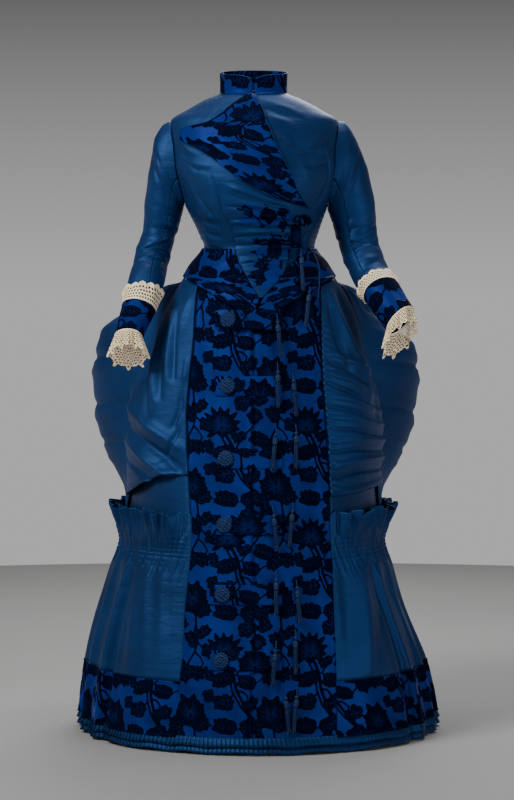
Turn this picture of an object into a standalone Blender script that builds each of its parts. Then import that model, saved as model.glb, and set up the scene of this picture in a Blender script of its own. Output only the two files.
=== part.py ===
"""Afternoon dress with a bustle, worn form, hollow, hanging from the shoulders.

Metres, +Z up.  The front faces -Y and +X is the wearer's left.
The origin is the middle of the neck base, between the shoulders.
Every garment piece is a patch over one smooth body surface: an angle round the
body (0 at the centre front, +90 degrees at the wearer's left side) and a height.
"""

import math

import bmesh
import bpy
import numpy as np

# Cloth and seams
WALL = 0.0015
SEAM_GAP = 0.0003
# A wall's inner edge leans past the seam by about this times half a column's turn
LEAN = 2.2
MM = 0.001

# Heights that the pieces share
NECK = -0.004
NECK_TILT = 0.008
SHOULDER_POINT = -0.063
UNDERARM = -0.237
WAIST = -0.325
BASQUE_SIDE = -0.385
HEADING_TOP = -0.872
SHIRRING = -0.948
BORDER_TOP = -1.208
BORDER_BOTTOM = -1.318
FRILL_BOTTOM = -1.348

# How far the outer face of each layer lies from the body surface
LIFT_SKIRT = 0.0
LIFT_BODICE = 0.0026
LIFT_TRIM = 0.0066
LIFT_PLASTRON = 0.0076
LIFT_TAB = 0.0025
LIFT_STRAP = 0.0052

# Body sections, mm: height, half width, front, back, middle x, middle y
BODY = (
    (45, 66, -56, 62, -1, 2),
    (-4, 67, -60, 68, -1, 2),
    (-20, 100, -74, 84, -1, 3),
    (-40, 137, -86, 97, 0, 4),
    (-63, 172, -97, 107, 0, 5),
    (-90, 177, -107, 112, 1, 5),
    (-125, 176, -117, 112, 1, 4),
    (-160, 173, -128, 108, 2, 2),
    (-189, 165, -133, 103, 3, 0),
    (-237, 147, -127, 95, 5, -2),
    (-292, 124, -107, 86, 9, 0),
    (-325, 113, -97, 83, 11, 0),
    (-360, 135, -112, 108, 11, 4),
    (-384, 149, -125, 138, 11, 8),
    (-430, 174, -143, 185, 10, 14),
    (-500, 201, -160, 215, 8, 20),
    (-600, 225, -177, 232, 4, 30),
    (-700, 243, -195, 240, 2, 40),
    (-850, 259, -220, 265, -1, 50),
    (-950, 272, -236, 300, -4, 60),
    (-1220, 352, -286, 445, 6, 90),
    (-1360, 374, -308, 480, 9, 95),
)

# Armhole, an oval in the side of the bodice
ARMHOLE_MIDDLE = (SHOULDER_POINT + UNDERARM) / 2
ARMHOLE_HALF = (SHOULDER_POINT - UNDERARM) / 2
ARMHOLE_DEPTH = 0.045

# Front trims, mm: height, left edge x, right edge x as seen from the front
PLASTRON = (
    (-14, -14, 4), (-23, -29, 6), (-42, -55, 17), (-69, -95, 25), (-82, -146, 31),
    (-101, -149, 38), (-122, -118, 46), (-143, -86, 57), (-164, -59, 67),
    (-185, -31, 78), (-206, 8, 86), (-221, 36, 94), (-243, 103, 108),
)
WAIST_DRAPE = (
    (-192, -63, -40), (-206, -67, -5), (-223, -66, 30), (-250, -62, 72),
    (-281, -42, 72), (-327, -36, 72), (-374, -21, 62), (-430, 10, 17),
)
HIP_PANEL_RIGHT = (
    (-330, -105, -38), (-352, -124, -34), (-361, -132, -30), (-386, -144, -17),
    (-410, -108, -3), (-430, -75, 9), (-455, -33, 6), (-482, -6, 1),
)
HIP_PANEL_LEFT = (
    (-330, 94, 128), (-352, 88, 146), (-361, 84, 153), (-386, 68, 166),
    (-410, 50, 126), (-430, 22, 88), (-455, 12, 48), (-482, 6, 14),
)
# Centre front skirt panel, mm: height, left edge x, right edge x
FRONT_PANEL = (
    (-345, -98, 118), (-433, -117, 135), (-525, -123, 137), (-597, -130, 139),
    (-672, -136, 145), (-783, -134, 152), (-911, -127, 156), (-992, -133, 161),
    (-1071, -141, 163), (-1154, -145, 166), (-1203, -151, 167), (-1318, -158, 168),
)

# Sleeve rings, mm: outer x, outer z, inner x, inner z, middle y, half depth
SLEEVE_RIGHT = (
    (-208, -97, -148, -244, 6, 46),
    (-218, -155, -150, -252, 8, 44),
    (-227, -216, -153, -265, 11, 42),
    (-234, -288, -160, -288, 13, 39),
    (-248, -334, -174, -336, 6, 38),
    (-255, -370, -181, -363, -12, 38),
    (-263, -401, -186, -393, -42, 36),
    (-273, -445, -206, -462, -84, 33),
)
SLEEVE_LEFT = (
    (204, -82, 154, -248, 6, 46),
    (227, -132, 158, -258, 8, 44),
    (244, -189, 163, -273, 11, 42),
    (256, -262, 170, -296, 13, 39),
    (259, -307, 181, -334, 6, 38),
    (271, -344, 195, -372, -12, 38),
    (286, -382, 214, -410, -42, 36),
    (299, -401, 231, -437, -84, 33),
)
# Cuffs, the same columns: top ring and bottom ring
CUFF_RIGHT = ((-278, -444, -208, -464, -85, 36), (-288, -508, -230, -510, -128, 30))
CUFF_LEFT = ((303, -399, 229, -438, -85, 36), (325, -447, 275, -500, -128, 30))
SLEEVE_SEAM_ANGLE = 112

# Bustle puff, mm: height, reach to the side, reach to the back
PUFF = (
    (-395, 158, 160), (-430, 205, 240), (-505, 300, 350), (-546, 334, 392),
    (-590, 350, 415), (-640, 354, 424), (-690, 350, 418), (-760, 332, 390),
    (-810, 302, 345), (-858, 266, 283),
)
PUFF_EDGE_ANGLE = 86

# Closing of the front panel
BUTTON_HEIGHTS = (-0.475, -0.609, -0.756, -0.890, -1.030, -1.161)
BUTTON_X = -0.051
BUTTON_DRIFT = 0.0225
BUTTON_RADIUS = 0.0168
BUTTON_DEPTH = 0.006
TAB_HALF_HEIGHT = 0.020
TAB_START = 0.026
TAB_REACH = 0.056
BUTTON_SEAT = 0.0004
# Button profile: share of the depth, share of the radius
BUTTON_PROFILE = ((0.0, 0.96), (0.30, 1.0), (0.75, 0.78), (1.0, 0.24))

# Tassels, mm: x, height of the cord's top, length of cord above the ball, closer to the cloth by
FRONT_TASSELS = (
    (44, -462, 16, 0), (108, -410, 8, 1.5), (47, -560, 18, 0), (77, -580, 16, 0),
    (44, -690, 16, 0.5), (84, -686, 16, 0), (37, -850, 18, 0), (78, -844, 16, 0),
    (43, -979, 18, 0), (84, -1000, 14, 0), (44, -1120, 18, 0.4), (82, -1098, 16, 0.6),
    (62, -1220, 12, 0.4), (86, -1218, 12, 0.6),
)
WAIST_TASSEL = (90, -330, 14, 0.5)

# Stand collar: its opening either side of the centre front in degrees, height and notch
COLLAR_OPEN = 3.5
COLLAR_HEIGHT = 0.042
COLLAR_SEAM = 0.0008
COLLAR_LIFT = 0.003
NOTCH_DEPTH = 0.007
NOTCH_SPREAD = 14

# Velvet knot at the side of the waist: place, half sizes, and the strap that hangs from it
KNOT_X = 0.0966
KNOT_HEIGHT = -0.2675
KNOT_SIZE = (0.022, 0.0065, 0.0115)
KNOT_CLEAR = 0.0008
STRAP_LEFT = 0.075
STRAP_RIGHT = 0.093
STRAP_ROWS = (-0.282, -0.305, -0.328)

# Lace over the cuff and at the wrist
LACE_WALL = 0.001
LACE_SCALLOP = 0.004
# Rows of the upstanding lace: distance above the cuff in rings, distance outside the sleeve
CUFF_LACE_ROWS = ((0.02, 0.0022), (0.22, 0.0035), (0.46, 0.0075))
# Rows of the wrist frill: drop below the cuff, flare
WRIST_LACE_ROWS = ((0.0009, 0.0), (0.018, 0.004), (0.040, 0.009))

# Gathers and pleats
FLOUNCE_GATHERS = 14
FRILL_PLEATS = 56
LACE_WAVES = 8


def smooth_curve(points):
    """Curve through (position, value) rows, with no overshoot between rows."""
    rows = sorted(points)
    xs = np.array([row[0] for row in rows], float)
    ys = np.array([row[1] for row in rows], float)
    steps = np.diff(xs)
    slopes = np.diff(ys) / steps
    tangents = np.zeros(len(xs))
    tangents[0] = slopes[0]
    tangents[-1] = slopes[-1]
    for i in range(1, len(xs) - 1):
        if slopes[i - 1] * slopes[i] > 0:
            early = 2 * steps[i] + steps[i - 1]
            late = steps[i] + 2 * steps[i - 1]
            tangents[i] = (early + late) / (early / slopes[i - 1] + late / slopes[i])

    def curve(at):
        at = np.clip(np.asarray(at, float), xs[0], xs[-1])
        i = np.clip(np.searchsorted(xs, at) - 1, 0, len(steps) - 1)
        t = (at - xs[i]) / steps[i]
        a = (1 + 2 * t) * (1 - t) ** 2 * ys[i] + t * (1 - t) ** 2 * steps[i] * tangents[i]
        b = t * t * (3 - 2 * t) * ys[i + 1] + t * t * (t - 1) * steps[i] * tangents[i + 1]
        return a + b

    return curve


def columns_of(table):
    """One smooth curve of height for each column after the first, in metres."""
    return [smooth_curve([(row[0] * MM, row[k] * MM) for row in table]) for k in range(1, len(table[0]))]


BODY_HALF, BODY_FRONT, BODY_BACK, BODY_X, BODY_Y = columns_of(BODY)


def ease(t):
    """Soft step from 0 to 1."""
    t = np.clip(t, 0.0, 1.0)
    return t * t * (3 - 2 * t)


def bell(distance, width):
    """Soft bump of height 1 at distance 0."""
    return np.exp(-(distance / width) ** 2)


def body_point(angle, height):
    """Point of the body surface at an angle in degrees and a height."""
    turn = np.radians(angle)
    middle = BODY_Y(height)
    depth = np.where(np.cos(turn) > 0, middle - BODY_FRONT(height), BODY_BACK(height) - middle)
    x = BODY_X(height) + BODY_HALF(height) * np.sin(turn)
    y = middle - depth * np.cos(turn)
    return np.stack((x, y, np.broadcast_to(height, x.shape)), axis=-1)


def body_normal(angle, height):
    """Outward direction of the body surface."""
    across = body_point(angle + 0.5, height) - body_point(angle - 0.5, height)
    up = body_point(angle, height + 0.002) - body_point(angle, height - 0.002)
    normal = np.cross(across, up)
    return normal / np.linalg.norm(normal, axis=-1, keepdims=True)


def laid(angle, height, lift):
    """Point at a distance outside the body surface."""
    angle, height = np.broadcast_arrays(np.asarray(angle, float), np.asarray(height, float))
    lift = np.broadcast_to(lift, angle.shape)
    return body_point(angle, height) + body_normal(angle, height) * lift[..., None]


def angle_at(x, height):
    """Angle of the front surface at a given x."""
    return np.degrees(np.arcsin(np.clip((x - BODY_X(height)) / BODY_HALF(height), -0.999, 0.999)))


def material(name, colour, roughness):
    """Plain Principled material."""
    made = bpy.data.materials.get(name) or bpy.data.materials.new(name)
    made.use_nodes = True
    shader = made.node_tree.nodes["Principled BSDF"]
    shader.inputs["Base Color"].default_value = (*colour, 1.0)
    shader.inputs["Roughness"].default_value = roughness
    shader.inputs["Metallic"].default_value = 0.0
    return made


def satin():
    return material("silk_satin", (0.013, 0.060, 0.150), 0.35)


def velvet():
    return material("cut_velvet", (0.004, 0.016, 0.090), 0.8)


def lace():
    return material("cream_lace", (0.66, 0.52, 0.33), 0.9)


def passementerie():
    return material("corded_trimming", (0.030, 0.060, 0.130), 0.6)


def new_object(name, mesh, finish):
    """Object in the dress collection with its own finish."""
    mesh.materials.append(finish)
    made = bpy.data.objects.new(name, mesh)
    bpy.data.collections["afternoon_dress"].objects.link(made)
    return made


def cloth(name, points, finish, closed=False, wall=WALL):
    """Wall of cloth behind a grid of points [row][column], rows from the top down."""
    rows, cols = points.shape[:2]
    shape = bmesh.new()
    bmesh.ops.create_grid(shape, x_segments=cols - 1, y_segments=rows - 1, size=1.0)
    shape.verts.ensure_lookup_table()
    for vert in shape.verts:
        col = round((vert.co.x + 1) / 2 * (cols - 1))
        row = rows - 1 - round((vert.co.y + 1) / 2 * (rows - 1))
        vert.co = points[row, col]
    if closed:
        bmesh.ops.remove_doubles(shape, verts=shape.verts, dist=0.00002)
    mesh = bpy.data.meshes.new(name)
    shape.to_mesh(mesh)
    shape.free()
    mesh.shade_smooth()
    made = new_object(name, mesh, finish)
    thick = made.modifiers.new("wall", "SOLIDIFY")
    thick.thickness = wall
    thick.offset = -1.0
    return made


def panel(name, finish, heights, edges, count, lift, top=None, bottom=None):
    """Patch of the body surface between two edges.

    heights: row heights from the top down; edges(height) gives the two edge angles;
    lift(angle, height) gives the distance of the outer face from the body;
    top and bottom(angle) bend the first and last rows.
    """
    heights = np.asarray(heights, float)
    across = np.linspace(0.0, 1.0, count + 1)[None, :]
    level = np.repeat(heights[:, None], count + 1, axis=1)
    left, right = edges(level)
    angle = left + (right - left) * across
    row = np.linspace(0.0, 1.0, len(heights))[:, None]
    if top is not None:
        level = level + (top(angle) - heights[0]) * (1 - row) ** 2
    if bottom is not None:
        level = level + (bottom(angle) - heights[-1]) * row ** 2
    left, right = edges(level)
    radius = np.maximum(BODY_HALF(level), 0.02)
    lean = LEAN * WALL * np.sin(np.radians(np.abs(right - left) / count / 2))
    inset = np.degrees((SEAM_GAP / 2 + lean) / radius)
    side = np.sign(right - left)
    left = left + inset * side
    right = right - inset * side
    angle = left + (right - left) * across
    return cloth(name, laid(angle, level, lift(angle, level)), finish)


def band(name, finish, angles, top, bottom, rows, lift, closed=False):
    """Patch of the body surface round fixed angles, between two height curves.

    lift(angle, height, drop) gives the outer face; drop runs from 0 at the top to 1.
    """
    drop = np.linspace(0.0, 1.0, rows + 1)[:, None]
    angle = np.repeat(np.asarray(angles, float)[None, :], rows + 1, axis=0)
    level = top(angle) + (bottom(angle) - top(angle)) * drop
    return cloth(name, laid(angle, level, lift(angle, level, drop)), finish, closed)


def fixed(value):
    """Function that gives the same value everywhere."""
    return lambda *place: value


def neckline(angle):
    """Height of the neck seam, lower at the front than at the back."""
    return NECK - NECK_TILT * np.cos(np.radians(angle))


def armhole_angle(height, back):
    """Angle of the armhole's edge at a height, 90 degrees above and below it."""
    part = np.clip((height - ARMHOLE_MIDDLE) / ARMHOLE_HALF, -1.0, 1.0)
    reach = ARMHOLE_DEPTH * np.sqrt(1 - part ** 2)
    if back:
        return 180 - np.degrees(np.arccos(reach / (BODY_BACK(height) - BODY_Y(height))))
    return np.degrees(np.arccos(reach / (BODY_Y(height) - BODY_FRONT(height))))


def table_edges(table):
    """Edge angles from a table of heights and front x values."""
    left, right = columns_of(table)

    def edges(height):
        return angle_at(left(height), height), angle_at(right(height), height)

    return edges


def make_collar():
    """Stand collar, open at the centre front with a small notch."""
    angles = np.linspace(COLLAR_OPEN, 360 - COLLAR_OPEN, 19)

    def top(angle):
        notch = NOTCH_DEPTH * bell(np.minimum(angle, 360 - angle), NOTCH_SPREAD)
        return neckline(angle) + COLLAR_HEIGHT - notch

    def bottom(angle):
        return neckline(angle) + COLLAR_SEAM

    band("collar", velvet(), angles, top, bottom, 2, fixed(COLLAR_LIFT))


def basque_edge(angle):
    """Lower edge of the bodice back, lowest at the centre back."""
    return BASQUE_SIDE - 0.030 * ease(1 - np.abs(angle - 180) / 90)


BODICE_ROWS = (-0.004, -0.018, -0.036, -0.050, SHOULDER_POINT, -0.078, -0.098, -0.122, -0.150,
               -0.178, -0.202, -0.222, UNDERARM, -0.265, -0.295, WAIST, -0.352)
TIP_ROWS = (-0.378, -0.404, -0.430)
SATIN_TIP = 0.008
TIP_RIGHT = 0.016
TIP_WIDTH = 0.150
BACK_LAST_ROW = -0.385


def make_bodice():
    """Two fronts that run down to a point, and a back."""
    rows = BODICE_ROWS + TIP_ROWS

    def narrowing(height):
        return ease((height - TIP_ROWS[-1]) / (BODICE_ROWS[-1] - TIP_ROWS[-1]))

    def middle(height):
        return angle_at(SATIN_TIP * (1 - narrowing(height)), height)

    def right_edges(height):
        side = -armhole_angle(height, False)
        tip = angle_at(-TIP_WIDTH * narrowing(height), height)
        return np.where(height < BODICE_ROWS[-1], np.maximum(side, tip), side), middle(height)

    def left_edges(height):
        side = armhole_angle(height, False)
        tip = angle_at(TIP_RIGHT + TIP_WIDTH * narrowing(height), height)
        return middle(height), np.where(height < BODICE_ROWS[-1], np.minimum(side, tip), side)

    panel("bodice_front_right", satin(), rows, right_edges, 6, fixed(LIFT_BODICE), top=neckline)
    panel("bodice_front_left", satin(), rows, left_edges, 6, fixed(LIFT_BODICE), top=neckline)

    def back_edges(height):
        edge = armhole_angle(height, True)
        return edge, 360 - edge

    panel("bodice_back", satin(), BODICE_ROWS + (BACK_LAST_ROW,), back_edges, 11, fixed(LIFT_BODICE),
          top=neckline, bottom=basque_edge)


def rows_between(table, count):
    """Evenly spaced heights over a table's range, in metres."""
    return np.linspace(table[0][0] * MM, table[-1][0] * MM, count)


PLASTRON_ROWS = (-0.014, -0.025, -0.036, -0.050, -0.063, -0.078, -0.098, -0.122, -0.150, -0.178, -0.202,
                 -0.222, -0.237, -0.243)
# Small gathers of the waist drape: distance apart, depth, slant
DRAPE_GATHER = 0.036
DRAPE_DEPTH = 0.0020
DRAPE_SLANT = 0.02
DRAPE_CLEAR = 0.0003
HIP_ROWS = (-0.330, -0.352, -0.366, -0.378, -0.387, -0.397, -0.410, -0.430, -0.455, -0.482)


def make_front_trims():
    """Velvet plastron and hip panels, the gathered satin over the waist, the knot and strap."""
    panel("plastron", velvet(), PLASTRON_ROWS, table_edges(PLASTRON), 8, fixed(LIFT_PLASTRON))

    def gathers(angle, height):
        ripple = np.sin((height - BODY_X(height)) * 2 * math.pi / DRAPE_GATHER + angle * DRAPE_SLANT)
        return LIFT_TRIM + DRAPE_CLEAR + DRAPE_DEPTH * ripple

    panel("waist_drape", satin(), rows_between(WAIST_DRAPE, 19), table_edges(WAIST_DRAPE), 5, gathers)
    panel("hip_panel_right", velvet(), HIP_ROWS, table_edges(HIP_PANEL_RIGHT), 6, fixed(LIFT_TRIM))
    panel("hip_panel_left", velvet(), HIP_ROWS, table_edges(HIP_PANEL_LEFT), 6, fixed(LIFT_TRIM))
    panel("side_strap", velvet(), STRAP_ROWS,
          lambda height: (angle_at(STRAP_LEFT, height), angle_at(STRAP_RIGHT, height)), 2, fixed(LIFT_STRAP))

    height = np.array(KNOT_HEIGHT)
    angle = angle_at(KNOT_X, height)
    centre = laid(angle, height, LIFT_BODICE + KNOT_SIZE[1] + KNOT_CLEAR)
    outward = body_normal(angle, height)
    shape = bmesh.new()
    bmesh.ops.create_uvsphere(shape, u_segments=12, v_segments=6, radius=1.0)
    bmesh.ops.scale(shape, vec=KNOT_SIZE, verts=shape.verts)
    mesh = bpy.data.meshes.new("side_knot")
    shape.to_mesh(mesh)
    shape.free()
    mesh.shade_smooth()
    knot = new_object("side_knot", mesh, velvet())
    knot.location = centre
    knot.rotation_euler = (0.0, 0.0, math.atan2(outward[0], -outward[1]))


def sleeve_line(table):
    """Smooth curves of the sleeve's ring columns against the ring's number, from 1."""
    return [smooth_curve([(k + 1, row[c] * MM) for k, row in enumerate(table)]) for c in range(6)]


def ring_at(line, number, turn, grow=0.0):
    """Points of the sleeve's ring at a (fractional) number; turn 0 is outside, 90 the front."""
    outer_x, outer_z, inner_x, inner_z, middle_y, depth = line

    def centre(at):
        return np.array([(outer_x(at) + inner_x(at)) / 2, middle_y(at), (outer_z(at) + inner_z(at)) / 2])

    along = centre(number + 0.05) - centre(number - 0.05)
    half = np.array([(outer_x(number) - inner_x(number)) / 2, 0.0, (outer_z(number) - inner_z(number)) / 2])
    width = np.linalg.norm(half)
    half = half / width
    front = np.cross(along, half)
    front = front / np.linalg.norm(front)
    if front[1] > 0:
        front = -front
    turn = np.radians(turn)[..., None]
    return (centre(number) + half * (width + grow) * np.cos(turn)
            + front * (float(depth(number)) + grow) * np.sin(turn))


def armhole_ring(turn, side):
    """Ring of the sleeve along the armhole's edge, just outside it."""
    height = ARMHOLE_MIDDLE + ARMHOLE_HALF * 0.999 * np.cos(np.radians(turn))
    front = np.sin(np.radians(turn)) > 0
    angle = np.where(front, armhole_angle(height, False), armhole_angle(height, True))
    points = laid(angle * side, height, LIFT_BODICE)
    points[..., 0] += side * ARMHOLE_STEP
    return points


# The sleeve's head starts this far outside the armhole's edge
ARMHOLE_STEP = 0.0012
# Half the seam between the sleeve's two pieces, degrees
SLEEVE_SEAM_HALF = 0.9
CUFF_SEAM = 0.0009
# The last ring of a cuff's two, just short of the table's end
CUFF_END = 1.999
SLEEVE_STOPS = (0.0, 0.5, 1.0, 2.0, 3.0, 4.0, 4.75, 5.5, 6.25, 7.0, 8.0)
HEAD_SWELL = 0.006


def sleeve_rows(table, side, turn, stops=SLEEVE_STOPS):
    """Grid of sleeve points from the armhole down to the wrist."""
    line = sleeve_line(table)
    seam = armhole_ring(turn, side)
    rows = []
    for stop in stops:
        if stop >= 1:
            rows.append(ring_at(line, stop, turn))
        else:
            swell = np.zeros_like(seam)
            swell[..., 2] = HEAD_SWELL * math.sin(math.pi * stop) * np.maximum(np.cos(np.radians(turn)), 0)
            rows.append(seam + (ring_at(line, 1.0, turn) - seam) * stop + swell)
    return np.array(rows)


def make_sleeve(word, table, cuff, side):
    """Two-piece sleeve, cuff and two edgings of lace.  side is +1 on the wearer's left."""
    handed = -side
    seam = SLEEVE_SEAM_ANGLE
    clear = SLEEVE_SEAM_HALF
    outer = np.linspace(-seam + clear, seam - clear, 9) * handed
    under = np.linspace(seam + clear, 360 - seam - clear, 6) * handed
    cloth(f"sleeve_{word}_upper", sleeve_rows(table, side, outer), satin())
    cloth(f"sleeve_{word}_under", sleeve_rows(table, side, under), satin())

    last = len(table)
    line = sleeve_line(table)
    ring = np.linspace(0, 360, 17) * handed
    start = ring_at(line, last, ring)
    along = ring_at(line, last, ring[:1]) - ring_at(line, last - 0.1, ring[:1])
    along = along[0] / np.linalg.norm(along[0])
    end_line = sleeve_line((cuff[0], cuff[1]))
    end = ring_at(end_line, CUFF_END, ring)
    top = start + along * CUFF_SEAM
    cloth(f"cuff_{word}", np.array([top, top + (end - top) * 0.5, end]), velvet(), closed=True)

    fine = np.linspace(0, 360, 3 * LACE_WAVES + 1) * handed
    wave = np.cos(np.radians(fine * LACE_WAVES))[:, None]
    rows = []
    for back, grow in CUFF_LACE_ROWS:
        points = ring_at(line, last - back, fine, grow)
        free_edge = (back, grow) == CUFF_LACE_ROWS[-1]
        rows.insert(0, points - along * LACE_SCALLOP * wave * free_edge)
    cloth(f"cuff_lace_{word}", np.array(rows), lace(), closed=True, wall=LACE_WALL)

    rows = []
    hang = np.array([0.0, 0.25 * along[1], -1.0])
    edge = ring_at(end_line, CUFF_END, fine)
    middle = edge.mean(axis=0)
    outwards = (edge - middle) / np.linalg.norm(edge - middle, axis=1, keepdims=True)
    for drop, flare in WRIST_LACE_ROWS:
        ruffle = flare * (1.0 + 0.55 * wave)
        free_edge = (drop, flare) == WRIST_LACE_ROWS[-1]
        rows.append(edge + hang * drop + outwards * ruffle - hang * LACE_SCALLOP * wave * free_edge)
    cloth(f"wrist_lace_{word}", np.array(rows), lace(), closed=True, wall=LACE_WALL)


SIDE_SEAM = 88.0
# Columns of the front panel as shares of its width, three of them for the centre fold
PANEL_FOLD = (0.0, 0.11, 0.22, 0.33, 0.42, 0.455, 0.49, 0.58, 0.69, 0.80, 0.90, 1.0)
FOLD_COLUMNS = ((0.42, -0.011), (0.455, 0.0), (0.49, 0.011))
FOLD_DEPTH = 0.005
FOLD_WIDTH = 0.006
PANEL_DIP = 0.052
PANEL_ROWS = (-0.402, -0.433, -0.500, -0.580, -0.672, -0.783, -0.911, -1.030, -1.154, BORDER_TOP,
              BORDER_BOTTOM)

SIDE_ROWS = (-0.386, -0.433, -0.500, -0.580, -0.672, -0.783, -0.911, -0.955)
# Seam between the front panel and the skirt's sides, degrees
SIDE_GAP = 0.25


def panel_edge(side, height):
    """Angle of the centre front panel's edge on one side."""
    left, right = columns_of(FRONT_PANEL)
    return angle_at(right(height) if side > 0 else left(height), height)


def make_skirt():
    """Velvet centre front panel, two side panels and the back, which hang from the waist."""
    left, right = columns_of(FRONT_PANEL)
    height = np.repeat(np.array(PANEL_ROWS)[:, None], len(PANEL_FOLD), axis=1)
    across = np.array(PANEL_FOLD)[None, :]
    x = left(height) + (right(height) - left(height)) * across
    for share, place in FOLD_COLUMNS:
        x[:, PANEL_FOLD.index(share)] = place
    height = height - PANEL_DIP * bell(x / left(height), 0.55) * ease((height - PANEL_ROWS[2]) / 0.08)
    lift = LIFT_SKIRT - FOLD_DEPTH * bell(x, FOLD_WIDTH)
    cloth("skirt_front_panel", laid(angle_at(x, height), height, lift), velvet())

    panel("skirt_side_right", satin(), SIDE_ROWS,
          lambda height: (-SIDE_SEAM, panel_edge(-1, height) - SIDE_GAP), 6, fixed(LIFT_SKIRT))
    panel("skirt_side_left", satin(), SIDE_ROWS,
          lambda height: (panel_edge(1, height) + SIDE_GAP, SIDE_SEAM), 6, fixed(LIFT_SKIRT))
    panel("skirt_back", satin(), SIDE_ROWS[1:], lambda height: (SIDE_SEAM, 360 - SIDE_SEAM), 9,
          fixed(LIFT_SKIRT))


SWAG_SEAT = 0.0036
# Side edge and seam to the front panel, degrees
SWAG_SIDE_EDGE = 84.5
SWAG_PANEL_GAP = 0.4
SWAG_TOP = -0.3919
SWAG_TOP_SAG = 0.020
# Lower edge of the swags at the side and at the front panel
SWAG_LOW = {"right": (-0.848, -0.792), "left": (-0.822, -0.838)}
# Side swags, mm: height, billow of the outer face beyond the skirt
SWAG_BILLOW = smooth_curve([(-0.39, 0.004), (-0.46, 0.007), (-0.53, 0.012), (-0.60, 0.024),
                            (-0.70, 0.027), (-0.80, 0.015), (-0.86, 0.006)])
# Folds of the swags: side, first x, first height, last x, last height, width, depth (metres)
SWAG_FOLDS = (
    (-1, -0.262, -0.690, -0.142, -0.788, 0.016, -0.011),
    (-1, -0.250, -0.640, -0.150, -0.735, 0.018, 0.008),
    (-1, -0.205, -0.500, -0.212, -0.700, 0.013, -0.008),
    (-1, -0.225, -0.560, -0.240, -0.680, 0.012, 0.008),
    (1, 0.150, -0.420, 0.205, -0.560, 0.014, 0.010),
    (1, 0.175, -0.410, 0.222, -0.640, 0.013, -0.009),
    (1, 0.150, -0.580, 0.235, -0.650, 0.014, 0.008),
    (1, 0.155, -0.700, 0.265, -0.720, 0.016, -0.008),
    (1, 0.158, -0.790, 0.270, -0.770, 0.014, 0.007),
)


def fold_lift(folds, side, angle, height):
    """Sum of soft ridges and troughs, each along a line between two places."""
    place = body_point(angle, height)
    arc = place[..., 0]
    total = np.zeros(arc.shape)
    for fold_side, x0, z0, x1, z1, width, depth in folds:
        if fold_side != side:
            continue
        length = math.hypot(x1 - x0, z1 - z0)
        ux, uz = (x1 - x0) / length, (z1 - z0) / length
        along = ((arc - x0) * ux + (height - z0) * uz) / length
        apart = np.abs((arc - x0) * uz - (height - z0) * ux)
        fade = ease((along + 0.15) / 0.3) * ease((1.15 - along) / 0.3)
        total += depth * bell(apart, width) * fade
    return total


def make_swags():
    """Draped satin over each side of the skirt, from under the hip panel to mid skirt."""
    for word, side in (("right", -1), ("left", 1)):
        outer_low, inner_low = SWAG_LOW[word]

        def inner_share(angle):
            return ease((SWAG_SIDE_EDGE - np.abs(angle)) / 50)

        def top(angle):
            return SWAG_TOP - SWAG_TOP_SAG * inner_share(angle)

        def bottom(angle, outer_low=outer_low, inner_low=inner_low):
            return outer_low + (inner_low - outer_low) * inner_share(angle)

        def edges(height, side=side):
            near = panel_edge(side, height) + side * SWAG_PANEL_GAP
            far = np.full_like(height, SWAG_SIDE_EDGE * side)
            return (near, far) if side > 0 else (far, near)

        def lift(angle, height, side=side):
            spread = ease((np.abs(angle) - 30) / 30)
            hem = ease((height + 0.86) / 0.03) * ease((-0.395 - height) / 0.04)
            folds = fold_lift(SWAG_FOLDS, side, angle, height) * hem
            return SWAG_SEAT + np.maximum(SWAG_BILLOW(height) * spread + folds, 0.0)

        panel(f"swag_{word}", satin(), np.linspace(-0.394, -0.840, 12), edges, 9, lift, top, bottom)


PUFF_RISE = 27.0
PUFF_TURN = 62.0
PUFF_TUCK = 0.0021
PUFF_STAND = 0.007
# The puff on the wearer's left reaches a little less far at its top
LEFT_PUFF_TRIM = 0.010
PUFF_VALLEY = 0.045
# Big folds of the puff: height at the side, drop towards the back, width, depth (metres)
PUFF_FOLDS = (
    (-0.530, -0.045, 0.030, -0.022),
    (-0.645, -0.050, 0.030, -0.024),
    (-0.755, -0.020, 0.028, -0.018),
)
PUFF_SIDE, PUFF_BACK = columns_of(PUFF)
PUFF_SEAM = 0.0007
PUFF_BOTTOM = -0.858


def puff_lift(angle, height, drop):
    """Distance of the puff's outer face from the body surface."""
    turn = np.abs(angle)
    rise = ease((turn - PUFF_EDGE_ANGLE) / PUFF_RISE)
    mix = ease((turn - 106) / PUFF_TURN)
    sideways = (PUFF_SIDE(height) - BODY_HALF(height)) * 1.16
    sideways = sideways - LEFT_PUFF_TRIM * (angle > 0) * bell(height + 0.53, 0.07)
    backwards = PUFF_BACK(height) - BODY_BACK(height)
    lift = PUFF_TUCK + PUFF_STAND * ease(drop / 0.08) + rise * (sideways * (1 - mix) + backwards * mix)
    lift = lift - PUFF_VALLEY * bell(180 - turn, 9) * rise * np.sin(math.pi * drop)
    for side_height, sag, width, depth in PUFF_FOLDS:
        line = side_height + sag * np.sin(np.radians((turn - 90) * 2))
        lift = lift + depth * bell(height - line, width) * ease((turn - 96) / 30)
    return lift


def make_puffs():
    """Two halves of the draped bustle, which meet in a valley at the centre back."""
    for word, side in (("right", -1), ("left", 1)):
        angles = np.linspace(PUFF_EDGE_ANGLE, 179.9, 12) * side
        if side < 0:
            angles = angles[::-1]

        def top(angle):
            return basque_edge(np.abs(angle)) - PUFF_SEAM

        band(f"bustle_puff_{word}", satin(), angles, top, fixed(PUFF_BOTTOM), 12, puff_lift)


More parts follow.
